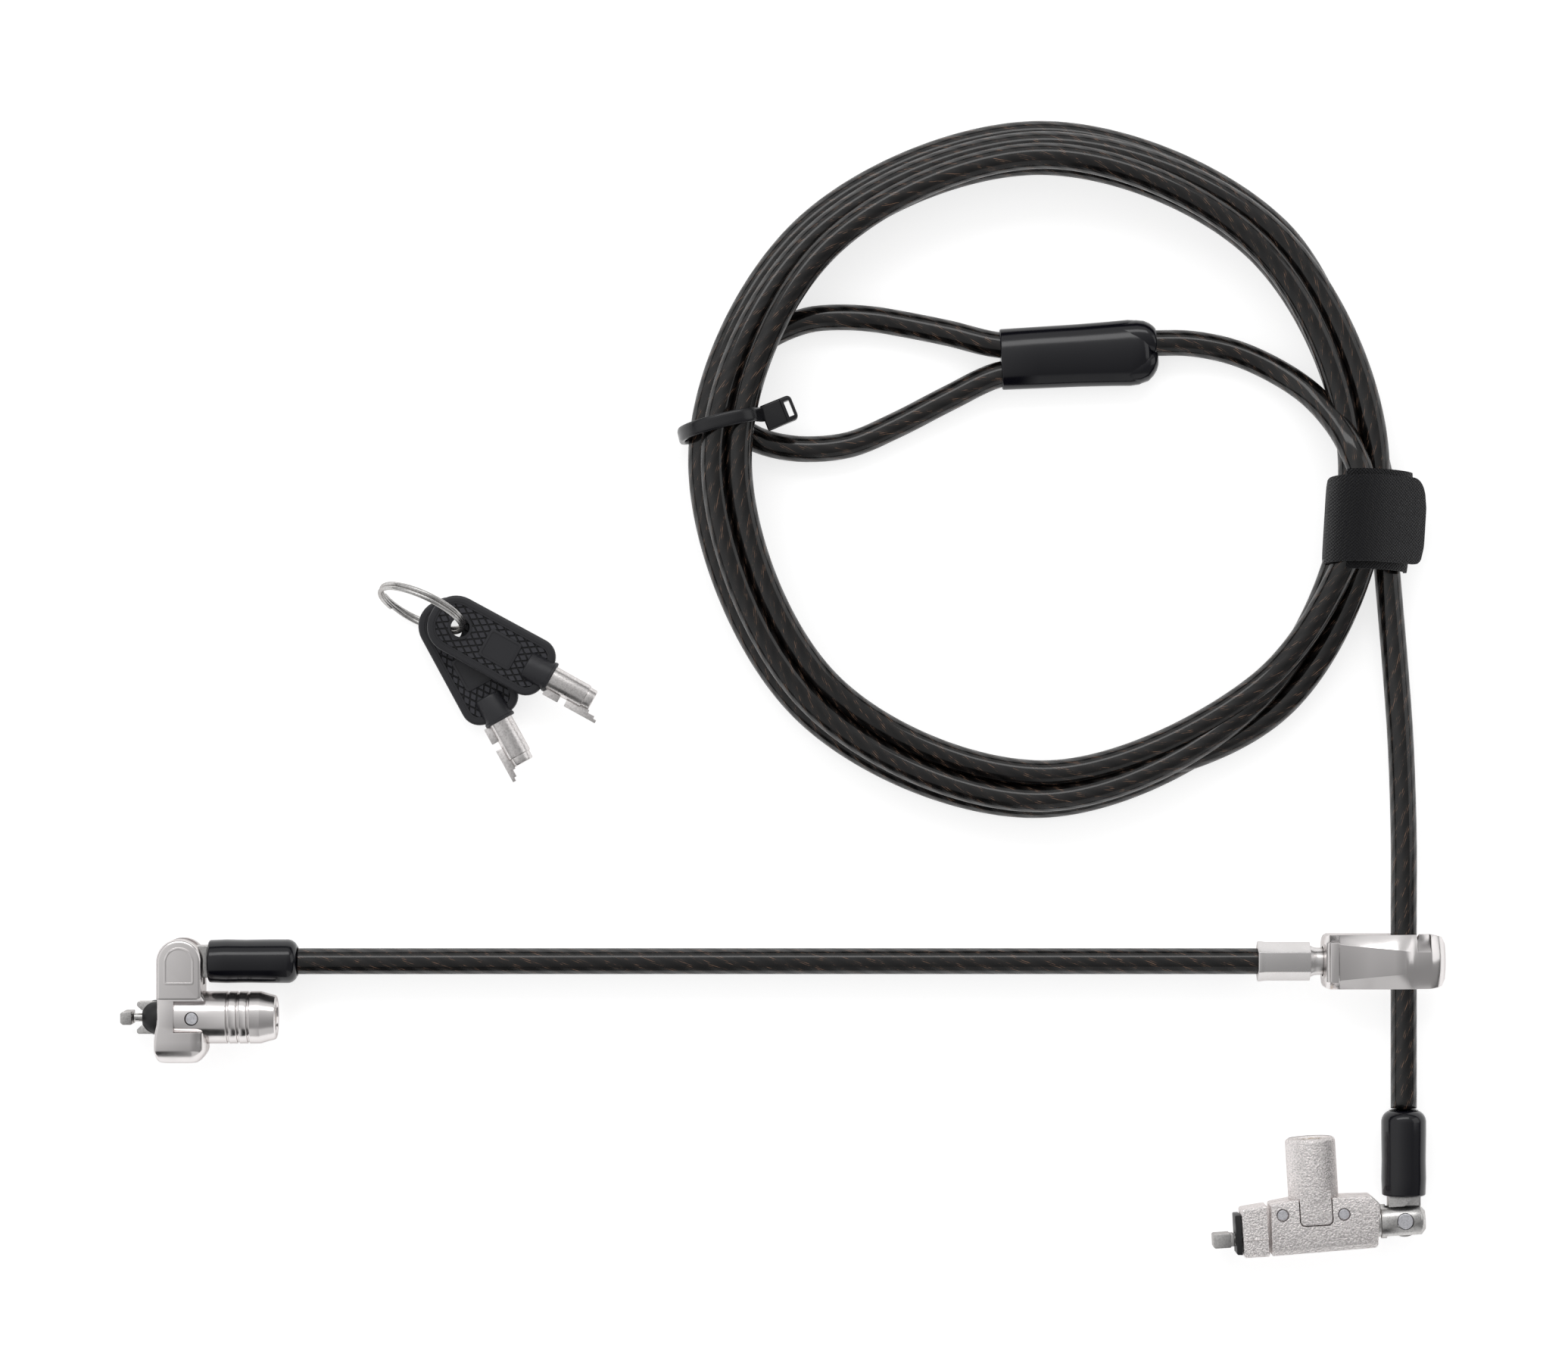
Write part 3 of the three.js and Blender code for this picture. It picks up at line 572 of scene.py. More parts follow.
def add_cables():
    route = [mm(*p) for p in STRAIGHT_ROUTE + coil_route() + TAIL_ROUTE + LOOP_ROUTE]
    main_path = spline(route, PATH_STEP * MM)
    main = tube("main_cable", main_path, CABLE_RADIUS * MM, SHEATH)
    link_path = spline([mm(*p) for p in LINK_ROUTE], PATH_STEP * MM)
    link = tube("link_cable_sheathed", link_path, CABLE_RADIUS * MM, SHEATH)
    rides(main, "cable", "cable_sheath", "main_cable_coil", "main_cable_straight", "main_cable_tail",
          "main_cable_loop_upper", "main_cable_loop_lower")
    rides(link, "link", "cable_sheath", "link_cable")
    return main, main_path, link, link_path


main_cable, main_path, link_cable, link_path = add_cables()

# ---- Lock head 1: arm, barrel, bumper, prongs, T-bar ----


def cross_section(left, right, low, high, radii, steps=5):
    """Outline of a bar's section: a rectangle with a corner radius at the left and at the right."""
    near, far = radii
    corners = [[left, low, near], [right, low, far], [right, high, far], [left, high, near]]
    return rounded_outline(corners, steps)


def lofted(sections, order="xyz"):
    """A closed skin over sections, each [place along, outline]; order names the axes of the numbers."""
    bm = bmesh.new()
    rings = []
    for along, outline in sections:
        ring = []
        for first, second in outline:
            spot = dict(zip(order, (along, first, second)))
            ring.append(bm.verts.new((spot["x"], spot["y"], spot["z"])))
        rings.append(ring)
    return skin(bm, rings)


BARREL_1_DROP = -10.72
BARREL_1_RADIUS = 5.0
PIN_X = 2.4
WINDOW_LEFT = -1.0
WINDOW_LOW = -13.35
WINDOW_HIGH = -7.4


def barrel_bore():
    """Bore of the arm in which the barrel swivels."""
    return raw("bore", rod(-3.8, 6, BARREL_1_RADIUS + 0.06, "x", 96, (0, BARREL_1_DROP, 0)))


def arm_lobe():
    outline = rounded_outline([[-4.4, 4.4, 4.35], [4.3, 4.4, 4.3], [4.3, -7.39, 0.9], [-4.4, -7.39, 0]], 14)
    lobe = rounded(raw("lobe", prism(outline, -4.9, 4.9)), 0.75, 4)
    slot = raw("slot", box((-6, -4.4, -1.8), (6, 6, 1.8)))
    pin_bore = raw("pin_bore", rod(-3.9, 3.9, 1.55, "z", 32))
    return cut(lobe, slot, pin_bore, barrel_bore())


def arm_border():
    """Low raised frame on the lobe's two faces."""
    outline = rounded_outline([[-2.9, 2.9, 2.8], [2.9, 2.9, 2.8], [2.9, -4.3, 0.6], [-2.9, -4.3, 0.6]], 8)
    inner = rounded_outline([[-2.4, 2.4, 2.35], [2.4, 2.4, 2.35], [2.4, -3.8, 0.3], [-2.4, -3.8, 0.3]], 8)
    frame_bar = raw("frame_bar", prism(outline, -5.0, 5.0))
    return rounded(cut(frame_bar, raw("inner", prism(inner, -6, 6))), 0.09, 2)


def arm_collar():
    """Collar round the barrel, running down into the lower block."""
    rows = [[-5.0, -4.1, 3.9, 4.3, 0.8, 0.8], [-6.0, -4.2, 4.2, 4.6, 0.7, 0.8],
            [-7.0, -4.2, 4.9, 4.75, 0.5, 0.9], [-8.0, -4.15, 5.1, 4.95, 0.5, 1.0],
            [-9.2, -4.15, 5.1, 5.15, 0.5, 1.2], [-10.7, -4.15, 5.1, 5.3, 0.5, 1.6],
            [-12.2, -4.3, 5.1, 5.35, 0.55, 2.2], [-13.6, -4.6, 5.1, 5.35, 0.6, 2.8],
            [-15.2, -4.75, 5.1, 5.35, 0.6, 3.0], [-16.6, -4.75, 5.1, 5.3, 0.6, 2.8],
            [-17.2, -4.72, 4.95, 5.05, 0.6, 2.6], [-18.1, -4.5, 4.4, 4.25, 0.6, 2.2],
            [-18.9, -4.1, 3.7, 3.4, 0.6, 1.8], [-19.2, -3.6, 3.2, 2.9, 0.5, 1.4],
            [-19.3, -3.0, 2.7, 2.4, 0.4, 1.2]]
    sections = []
    for y, left, right, half, near, far in rows:
        sections.append([y, cross_section(left, right, -half, half, (near, far))])
    collar = raw("collar", lofted(sections, "yxz"))
    window = raw("window", box((WINDOW_LEFT, WINDOW_LOW, -7), (8, WINDOW_HIGH, 7)))
    front = raw("front", rod(-6, -3.7, 3.8, at=(0, BARREL_1_DROP, 0)))
    cut(collar, window, barrel_bore(), front)
    return rounded(collar, 0.1, 2, 50)


def add_arm():
    arm = merged("lock1_arm_body", arm_lobe(), arm_border(), arm_collar())
    rides(finished(arm, BRIGHT, HEAD_1, 30), "arm_1", "bright_nickel", "lock1_arm")
    profile = [[-3.8, 0], [-3.8, 1.3], [-3.7, 1.4], [3.7, 1.4], [3.8, 1.3], [3.8, 0]]
    pin = raw("lock1_pivot_pin_body", turned(profile, "z", 40))
    rides(finished(pin, STEEL, HEAD_1), "arm_1", "steel", "lock1_pivot_pin")


GROOVE = ((-0.5, 0), (-0.34, 0.05), (-0.22, 0), (-0.12, -0.22),
          (0.12, -0.22), (0.22, 0), (0.34, 0.05), (0.5, 0))


def barrel_profile(grooves, left, right, radius):
    """Turned outline up to the end chamfer, with rounded grooves between slightly crowned bands."""
    points = [[left, radius - 0.15], [left + 0.15, radius]]
    for at in grooves:
        for along, rise in GROOVE:
            points.append([at + along, radius + rise])
    return points + [[right, radius]]


def add_barrel():
    left = -3.55
    outer = barrel_profile((9.1, 11.05, 13.0), left, 15.2, BARREL_1_RADIUS)
    mouth = [[15.35, 4.97], [17.1, 4.42], [17.5, 4.36], [18.0, 4.2], [18.25, 3.9], [18.3, 3.6], [18.2, 3.3],
             [17.9, 3.1]]
    inner = [[17.4, 3.07], [6.0, 3.07], [6.0, 2.0], [left, 2.0], [left, BARREL_1_RADIUS - 0.15]]
    shell = raw("lock1_barrel_shell", turned(outer + mouth + inner, "x", 120))
    cut(shell, raw("bore", rod(-8, 8, 1.32, "z", 48, (PIN_X, 0, 0))))
    rides(finished(shell, BRIGHT, BARREL_1, 30), "barrel_1", "bright_nickel", "lock1_barrel")
    pin = turned([[-4.86, 0], [-4.86, 0.85], [-4.7, 1.14], [4.7, 1.14], [4.8, 1.0], [4.8, 0]], "z", 40)
    bmesh.ops.translate(pin, verts=pin.verts, vec=(PIN_X, 0, 0))
    pin = finished(raw("lock1_pin_body", pin), PIN_STEEL, BARREL_1, 30)
    rides(pin, "barrel_1", "steel", "lock1_retaining_pin")


def add_core_1():
    """Brass-lined keyway ring inside the barrel's mouth."""
    profile = [[5.9, 2.95], [16.9, 2.95], [17.2, 2.75], [17.2, 2.35], [16.6, 2.2], [5.9, 2.2], [5.9, 2.95]]
    ring = finished(raw("lock1_sleeve_body", turned(profile, "x", 64)), BRASS, BARREL_1)
    rides(ring, "barrel_1", "brass", "lock1_core_sleeve")


def add_bumper():
    profile = [[-3.8, 3.35], [-4.3, 3.4]] + arc((-4.6, 0.2), 3.15, 88, 150, 10)
    profile += [[-7.2, 1.0], [-7.05, 0.82], [-3.8, 0.82], [-3.8, 3.35]]
    dome = raw("lock1_dome", turned(profile, "x", 72))
    bar = box((-9, 1.4, -1.35), (-3, 3.15, 1.35))
    box((-9, -3.15, -1.35), (-3, -1.4, 1.35), bar)
    cut(dome, raw("bars", bar))
    dome = finished(dome, RUBBER, BARREL_1)
    rides(dome, "barrel_1", "black_rubber", "lock1_rubber_bumper")


def add_prongs():
    prongs = []
    for side in (1, -1):
        corners = [[-3.3, 1.45 * side], [-3.3, 3.1 * side], [-8.1, 3.1 * side], [-8.4, 2.8 * side],
                   [-8.4, 2.3 * side], [-7.5, 1.45 * side]]
        prongs.append(rounded(raw("prong", prism(corners, -1.3, 1.3)), 0.1, 2))
    plate = finished(merged("lock1_prongs", *prongs), STEEL, BARREL_1, 30)
    rides(plate, "barrel_1", "steel", "lock1_prong_plate")


def add_tbar():
    outline = [[-9.25, -1.28], [-9.25, 1.28], [-10.9, 1.28], [-11.4, 0.9], [-11.4, -0.9], [-10.9, -1.28]]
    head = rounded(raw("head", prism(outline, -3.1, 3.1)), 0.16, 2)
    neck = raw("neck", turned([[-9.4, 0], [-9.4, 0.8], [-4.0, 0.75], [-4.0, 0]], "x", 32))
    profile = [[-9.3, 0], [-9.3, 1.15], [-9.0, 0.85], [-8.6, 0.76], [-8.6, 0]]
    fillet = raw("fillet", turned(profile, "x", 32))
    bar = finished(merged("lock1_tbar_body", head, neck, fillet), STEEL, BARREL_1, 30)
    rides(bar, "tbar_1", "steel", "lock1_tbar")


def boot(name, length, radius, matrix, body, node, flat_end=0.55, shoulder=2.0):
    """Tapered black boot: its origin is the middle of the fitting end, and the cable leaves it along +X."""
    middle = length - shoulder
    profile = [[0.35, CABLE_RADIUS - 0.3], [0.0, CABLE_RADIUS + 0.4], [0.0, radius - flat_end - 0.15]]
    profile += arc((flat_end, radius - flat_end - 0.1), flat_end, 180, 100, 5)[1:]
    profile += [[length * 0.2, radius], [length * 0.42, radius - 0.07], [length * 0.7, radius]]
    profile += arc((middle, radius - shoulder), shoulder, 88, 12, 10)
    tip = CABLE_RADIUS + 0.35
    profile += [[length - 0.02, tip], [length - 0.1, tip - 0.22], [length - 0.5, tip - 0.5]]
    profile += [[length * 0.5, CABLE_RADIUS - 0.3], profile[0]]
    piece = finished(raw(name, turned(profile, "x", 96)), VINYL, matrix, 50)
    rides(piece, body, "black_vinyl", node)


def eye_tab(name, matrix, body, node):
    """Crimped eye between the fork's two halves, running into the boot along +X."""
    corners = [[-3.1, 3.1, 3.05], [5.9, 3.1, 0.4], [5.9, -3.1, 0.4], [-3.1, -3.1, 3.05]]
    outline = rounded_outline(corners, 10)
    plate = raw("plate", prism(outline, -1.5, 1.5))
    hole = raw("hole", rod(-3, 3, 1.75, "z", 40))
    plate = rounded(cut(plate, hole), 0.2, 2)
    rides(finished(plate, STEEL, matrix, 30), body, "steel", node).name = name


def assign(material, *nodes):
    """Give CAD nodes that stay in view their material."""
    for node in nodes:
        data = bpy.data.objects[node].data
        data.materials.clear()
        data.materials.append(material)


add_arm()
add_barrel()
add_core_1()
add_bumper()
add_prongs()
add_tbar()
boot("lock1_boot_body", 17.1, 4.2, place(-110.0, LINK_Y, AXIS_Z), "link", "lock1_boot")
eye_tab("lock1_eye_body", HEAD_1, "link", "lock1_cable_eye")

# ---- Anchor on the main cable, and the link's crimped ferrule ----


def anchor_section(half_width, edge_height, flat, top, dip):
    """Eight-sided section of the anchor; dip deepens the upper bevel on its +Y side."""
    upper = [(half_width, dip - edge_height), (half_width, edge_height - dip), (flat, top), (-flat, top)]
    return upper + [(-half_width, edge_height), (-half_width, -edge_height), (-flat, -top), (flat, -top)]


def anchor_body():
    rows = [[-15.55, 4.3, 2.6, 3.4, 3.6], [-15.2, 4.9, 3.2, 3.7, 4.5], [-14.6, 5.2, 3.6, 3.8, 5.05],
            [-14.0, 5.2, 3.8, 3.8, 5.3], [-13.3, 5.2, 3.8, 3.7, 5.3], [-12.8, 5.2, 3.75, 3.6, 5.2],
            [-12.55, 5.2, 3.75, 3.4, 5.12], [-7.0, 5.2, 3.7, 2.85, 5.05], [-2.2, 5.2, 3.6, 2.4, 5.0],
            [-1.2, 5.2, 3.5, 2.3, 4.93], [0.0, 5.2, 3.3, 2.15, 4.6], [1.2, 5.2, 3.0, 2.0, 4.1],
            [1.5, 5.2, 2.9, 1.95, 3.95], [2.2, 5.2, 2.75, 1.94, 3.82], [2.4, 5.2, 2.7, 1.94, 3.78, 1.95],
            [4.8, 5.2, 2.12, 1.9, 3.32, 1.8], [5.0, 5.18, 2.07, 1.9, 3.27], [5.2, 5.15, 2.0, 1.9, 3.2],
            [6.3, 4.95, 1.5, 1.7, 2.7], [7.2, 4.7, 1.0, 1.4, 1.9], [7.8, 3.4, 0.5, 0.8, 1.0],
            [7.98, 1.6, 0.2, 0.5, 0.4]]
    sections = []
    for x, width, edge, flat, top, *dip in rows:
        sections.append([x, anchor_section(width, edge, flat, top, sum(dip))])
    body = rounded(raw("anchor_body", lofted(sections, "xyz")), 0.16, 3, 22)
    outline = cross_section(-14.7, -12.75, -4.0, 4.0, (0.5, 0.5), 6)
    ridge = rounded(raw("ridge", prism(outline, -5.42, 5.42)), 0.35, 3)
    bore = turned([[-9, 0], [-9, 3.6], [-4.9, 3.0], [4.9, 3.0], [9, 3.6], [9, 0]], "y", 72)
    seat = turned([[-20, 0], [-20, 2.9], [-12.6, 2.9], [-12.6, 3.6], [-8.2, 3.6], [-8.2, 0]], "x", 64)
    for part in (body, ridge):
        cut(part, raw("seat", seat.copy()))
    seat.free()
    cut(body, raw("bore", bore))
    return merged("anchor_ring_body", body, ridge)


def add_anchor():
    rides(finished(anchor_body(), BRIGHT, ANCHOR, 25), "anchor", "bright_nickel", "slider_ring")


def ferrule_body():
    """Six-sided crimp with a slightly flared end; its round neck ends in a head kept inside the anchor."""
    left = 90.6
    neck = 101.2
    sections = []
    for x, grow in ((left, 0.98), (left + 0.15, 1.05), (left + 0.8, 1.03), (left + 1.6, 1.0),
                    (neck - 0.5, 1.0)):
        corner = 3.25 * grow / math.cos(math.radians(30))
        turns = [math.radians(60 * k) for k in range(6)]
        sections.append([x, [(corner * math.cos(turn), corner * math.sin(turn)) for turn in turns]])
    crimp = rounded(raw("crimp", lofted(sections, "xyz")), 0.22, 3, 30)
    profile = [[neck - 1.0, 0], [neck - 1.0, 3.0], [neck - 0.3, 2.95], [neck + 0.3, 2.66],
               [neck + 0.9, 2.6], [106.6, 2.6], [106.7, 3.1], [109.6, 3.1], [109.7, 3.0], [109.7, 0]]
    return merged("link_crimp", crimp, raw("neck", turned(profile, "x", 64)))


def add_ferrule():
    rides(finished(ferrule_body(), CRIMP, LINK, 30), "link", "crimp_aluminium", "slider_ferrule")


add_anchor()
add_ferrule()

# ---- Lock head 2: case, key tower, nose, blade and swivel ----


def inset(points, distance):
    """A closed outline moved inward by a small distance."""
    area = sum(a[0] * b[1] - b[0] * a[1] for a, b in zip(points, points[1:] + points[:1]))
    turn = 1 if area > 0 else -1
    moved = []
    for i, point in enumerate(points):
        before = points[i - 1]
        after = points[(i + 1) % len(points)]
        way = Vector((after[0] - before[0], after[1] - before[1])).normalized()
        moved.append((point[0] - way.y * distance * turn, point[1] + way.x * distance * turn))
    return moved


def slab(outline, low, high, edge, steps=4):
    """A flat plate whose outline edge is rounded on the high side only; low may lie above high."""
    way = 1 if high > low else -1
    sections = [[low, outline]]
    for k in range(steps + 1):
        angle = math.radians(90 * k / steps)
        sections.append([high - way * edge * (1 - math.sin(angle)),
                         inset(outline, edge * (1 - math.cos(angle)))])
    return lofted(sections, "zxy")


CASE_FACE = 4.1
CASE_SEAM = 0.15
TANG = (-17.0, 3.05, 0.4)  # middle, half width, bottom of the tower's tang
RIVETS = ((-23.4, 2.7), (-11.7, 2.2))
BLADE_Y = -1.7


def case_outline():
    return rounded_outline([[-25.6, 4.85, 0.5], [-25.9, -5.05, 0.5], [-5.6, -4.6, 0.8], [-4.6, 3.6, 1.2],
                            [-6.2, 5.3, 0.6], [-12.6, 5.5, 2.0], [-21.0, 5.5, 2.0]], 5)


def lower_bevel(side):
    """Wedge that takes the wide bevel off the lower edge of one half of the case."""
    sections = []
    for x, edge in ((-27.0, -5.08), (-3.0, -4.55)):
        corners = [(edge + 1.6, CASE_FACE + 0.02), (edge - 1.0, CASE_FACE + 1.0), (edge - 1.0, 2.6),
                   (edge - 0.05, 3.2), (edge + 0.95, CASE_FACE - 0.18)]
        sections.append([x, [(y, z * side) for y, z in corners]])
    return raw("bevel", lofted(sections, "xyz"))


def shallow_case(side):
    half = raw("case_half", slab(case_outline(), CASE_SEAM * side, CASE_FACE * side, 0.38))
    middle, width, bottom = TANG
    pocket = rounded_outline([[middle - width - 0.18, bottom - 0.18, 1.1],
                              [middle + width + 0.18, bottom - 0.18, 1.1], [middle + width + 0.18, 9, 0],
                              [middle - width - 0.18, 9, 0]], 6)
    cut(half, raw("pocket", prism(pocket, 2.6 * side, 6.0 * side)))
    for x, y in RIVETS:
        cut(half, raw("hole", rod(2.9 * side, 6 * side, 1.22, "z", 40, (x, y, 0))))
    cut(half, lower_bevel(side))
    inside = box((-24.0, -3.6, 0), (-14.0, 3.9, 2.3 * side))
    return cut(half, raw("inside", inside))


def add_case():
    for name, node, side in (("case_front_shell", "lock2_case_front", 1),
                             ("case_back_shell", "lock2_case_back", -1)):
        half = cut(shallow_case(side), raw("seat", rod(-8.2, 0, 3.45)))
        half.name = name
        rides(finished(half, SATIN, HEAD_2, 30), "case_2", "satin_nickel", node)


def add_tower():
    middle, width, bottom = TANG
    profile = [[4.9, 0], [4.9, 4.72], [6.2, 4.8], [16.1, 4.8]] + arc((16.1, 4.0), 0.8, 90, 10, 6)
    profile += [[16.85, 4.3], [16.8, 3.6], [16.5, 3.2], [15.6, 3.1], [15.6, 0]]
    tube_part = turned(profile, "y", 96)
    bmesh.ops.translate(tube_part, verts=tube_part.verts, vec=(middle, 0, 0))
    tower = raw("tower", tube_part)
    outline = rounded_outline([[middle - width, bottom, 1.0], [middle + width, bottom, 1.0],
                               [middle + width, 7.0, 0.2], [middle - width, 7.0, 0.2]], 6)
    front = raw("front", slab(outline, 2.7, 4.28, 0.22))
    back = raw("back", slab(outline, -2.7, -4.28, 0.22))
    tower = finished(merged("key_tower_body", tower, front, back), SATIN, HEAD_2, 30)
    rides(tower, "case_2", "satin_nickel", "lock2_key_tower")


def add_rivets():
    for node, (x, y) in zip(("lock2_rivet_left", "lock2_rivet_right"), RIVETS):
        profile = [[-3.98, 0], [-3.98, 0.86], [-3.88, 1.0], [3.88, 1.0], [3.98, 0.86], [3.98, 0]]
        bm = turned(profile, "z", 40)
        bmesh.ops.translate(bm, verts=bm.verts, vec=(x, y, 0))
        rides(finished(raw(node + "_body", bm), PIN_STEEL, HEAD_2, 30), "case_2", "steel", node)


def blade_bore():
    """Round bore in which the blade's shaft turns."""
    return raw("bore", rod(-35, -28.4, 1.35, "x", 48, (0, BLADE_Y, 0)))


def add_nose():
    rows = [[4.35, -30.9, -26.4, 3.2], [4.25, -31.05, -26.3, 3.5], [3.9, -31.2, -26.2, 3.72],
            [-1.5, -31.2, -26.2, 3.77], [-1.7, -31.2, -26.2, 3.92], [-1.9, -31.2, -26.2, 3.77],
            [-4.7, -31.2, -26.2, 3.7], [-5.0, -31.0, -26.3, 3.45], [-5.1, -30.8, -26.45, 3.1]]
    sections = []
    for y, left, right, half in rows:
        lean = 0.04 if y < 0 else 0.0
        sections.append([y, cross_section(left + lean, right, -half, half, (0.3, 0.3))])
    body = raw("nose_body", lofted(sections, "yxz"))
    for vert in body.data.vertices:
        reach = (vert.co.x + 31.2) / 5.0
        if vert.co.y > 3:
            vert.co.y += 0.55 * reach - 0.15
    rides(finished(cut(body, blade_bore()), SATIN, HEAD_2, 30), "case_2", "satin_nickel", "lock2_nose")
    outline = rounded_outline([[-32.45, 3.15, 0.25], [-31.35, 3.15, 0.1], [-31.35, -4.5, 0.1],
                               [-32.45, -4.4, 0.25]], 3)
    pad = rounded(raw("nose_pad", prism(outline, -3.3, 3.3)), 0.1, 2)
    pad = finished(cut(pad, blade_bore()), RUBBER, HEAD_2, 30)
    rides(pad, "case_2", "black_rubber", "lock2_rubber_pad")


def add_blade():
    y = BLADE_Y
    head = [[-36.45, y - 1.35], [-33.55, y - 1.35], [-33.4, y - 1.2], [-33.4, y + 1.2], [-33.55, y + 1.35],
            [-36.45, y + 1.35], [-36.75, y + 1.1], [-36.75, y - 1.1]]
    head = rounded(raw("head", prism(head, -2.4, 2.4)), 0.07, 2)
    step = rounded(raw("step", box((-33.6, y - 1.15, -2.2), (-32.7, y + 1.15, 2.2))), 0.08, 2)
    shaft = raw("shaft", rod(-33.0, -28.6, 1.15, "x", 40, (0, y, 0)))
    blade = finished(merged("blade_body", head, step, shaft), STEEL, HEAD_2, 30)
    rides(blade, "blade_2", "steel", "lock2_blade")


def add_swivel():
    profile = [[-7.8, 0], [-7.8, 2.9], [-4.6, 2.9], [-4.5, 3.2], [-4.35, 3.27], [3.0, 3.27], [3.15, 3.2],
               [3.9, 2.5], [3.95, 2.35], [3.95, 0]]
    barrel = raw("swivel_barrel_body", turned(profile, "x", 96))
    slot = raw("slot", box((-3.5, -5, -1.75), (5, 5, 1.75)))
    cut(barrel, slot, raw("bore", rod(-5, 5, 1.62, "z", 48)))
    rides(finished(barrel, STEEL, HEAD_2, 30), "swivel_2", "steel", "lock2_swivel_barrel")
    profile = [[-3.1, 0], [-3.1, 1.3], [-3.0, 1.48], [3.0, 1.48], [3.08, 1.36], [3.08, 0]]
    pin = finished(raw("swivel_pin_body", turned(profile, "z", 48)), PIN_STEEL, HEAD_2, 30)
    rides(pin, "swivel_2", "steel", "lock2_pivot_pin")


add_case()
add_tower()
add_rivets()
add_nose()
add_blade()
add_swivel()
BOOT_2_PLACE = place(MAIN_X, -52.7, AXIS_Z, 90)
boot("lock2_boot_body", 16.4, 4.3, BOOT_2_PLACE, "cable", "lock2_boot", 0.45, 2.3)
eye_tab("lock2_eye_body", place(MAIN_X, -57.4, AXIS_Z, 90), "cable", "lock2_cable_eye")

# ---- Loop sleeve, cable tie and wrap strap ----


def ring_section(middle, radius_y, radius_z, sides=36):
    """Oval outline round a point of the sleeve's own Y axis."""
    angles = [2 * math.pi * k / sides for k in range(sides)]
    return [(middle + radius_y * math.cos(a), radius_z * math.sin(a)) for a in angles]


def add_sleeve():
    """Moulded sleeve over the loop's two cables; its closed end has one lobe round each cable."""
    rows = [[-15.1, 5.45, 3.3], [-15.05, 5.7, 3.5], [-14.8, 5.85, 3.6], [-8.0, 5.93, 3.6], [0.0, 6.02, 3.6],
            [6.0, 6.2, 3.6], [9.5, 6.35, 3.6], [11.2, 6.2, 3.52], [12.4, 5.7, 3.3], [13.2, 5.0, 2.9],
            [13.7, 4.2, 2.3]]
    sections = []
    for x, half, depth in rows:
        sections.append([x, ring_section(0.02, half, depth, 64)])
    body = raw("sleeve_hull", lofted(sections, "xyz"))
    upper = [[6.0, 2.85, 3.2, 2.8], [9.5, 2.85, 3.35, 3.0], [11.2, 2.85, 3.4, 3.15], [12.6, 2.7, 3.35, 3.2],
             [13.6, 2.4, 3.2, 3.1], [14.3, 2.1, 2.95, 2.95], [14.65, 1.95, 2.75, 2.75],
             [14.8, 1.9, 2.56, 2.56], [14.5, 1.9, 2.3, 2.3]]
    lower = [[6.0, -2.75, 3.2, 2.8], [9.5, -2.75, 3.3, 3.0], [11.4, -2.7, 3.35, 3.1],
             [13.0, -2.5, 3.1, 3.0], [14.0, -2.1, 2.6, 2.6], [14.7, -1.7, 2.0, 2.1],
             [15.05, -1.5, 1.2, 1.2], [15.12, -1.45, 0.4, 0.4]]
    lobes = []
    for name, lobe in (("upper_lobe", upper), ("lower_lobe", lower)):
        lobes.append(raw(name, lofted([[x, ring_section(y, ry, rz)] for x, y, ry, rz in lobe], "xyz")))
    sleeve = finished(merged("loop_sleeve_body", body, *lobes), VINYL, SLEEVE, 60)
    rides(sleeve, "cable", "black_vinyl", "loop_sleeve", "loop_ferrule")


def sweep(name, path, width, thickness, turn_in=0.0, end_radii=(0.0, 0.0), rows=12):
    """A flat band along an X-Z path; the band lies across Y. Its first end may have rounded corners."""
    bm = bmesh.new()
    grid = []
    run = 0.0
    for i, point in enumerate(path):
        before = path[max(i - 1, 0)]
        after = path[min(i + 1, len(path) - 1)]
        way = (after - before).normalized()
        normal = Vector((-way.y, way.x))
        if i:
            run += (point - path[i - 1]).length
        limits = []
        for radius in end_radii:
            short = max(radius - run, 0.0)
            limits.append(width / 2 - radius + math.sqrt(radius ** 2 - short ** 2) if short else width / 2)
        line = []
        for side in (0.5, -0.5):
            for k in range(rows + 1):
                share = (k / rows * 2 - 1) * (1 if side > 0 else -1)
                across = share * limits[share > 0]
                edge = thickness * side * (1 - 0.35 * (abs(k / rows * 2 - 1) ** 8))
                spot = point + normal * edge
                line.append(bm.verts.new((spot.x + turn_in * across, across + 0.07 * spot.y, spot.y)))
        grid.append(line)
    return raw(name, skin(bm, grid))


TIE = place(-11.9, 93.9, 0.0, 13.0)
STRAP = place(0.0, 75.6, 0.0)


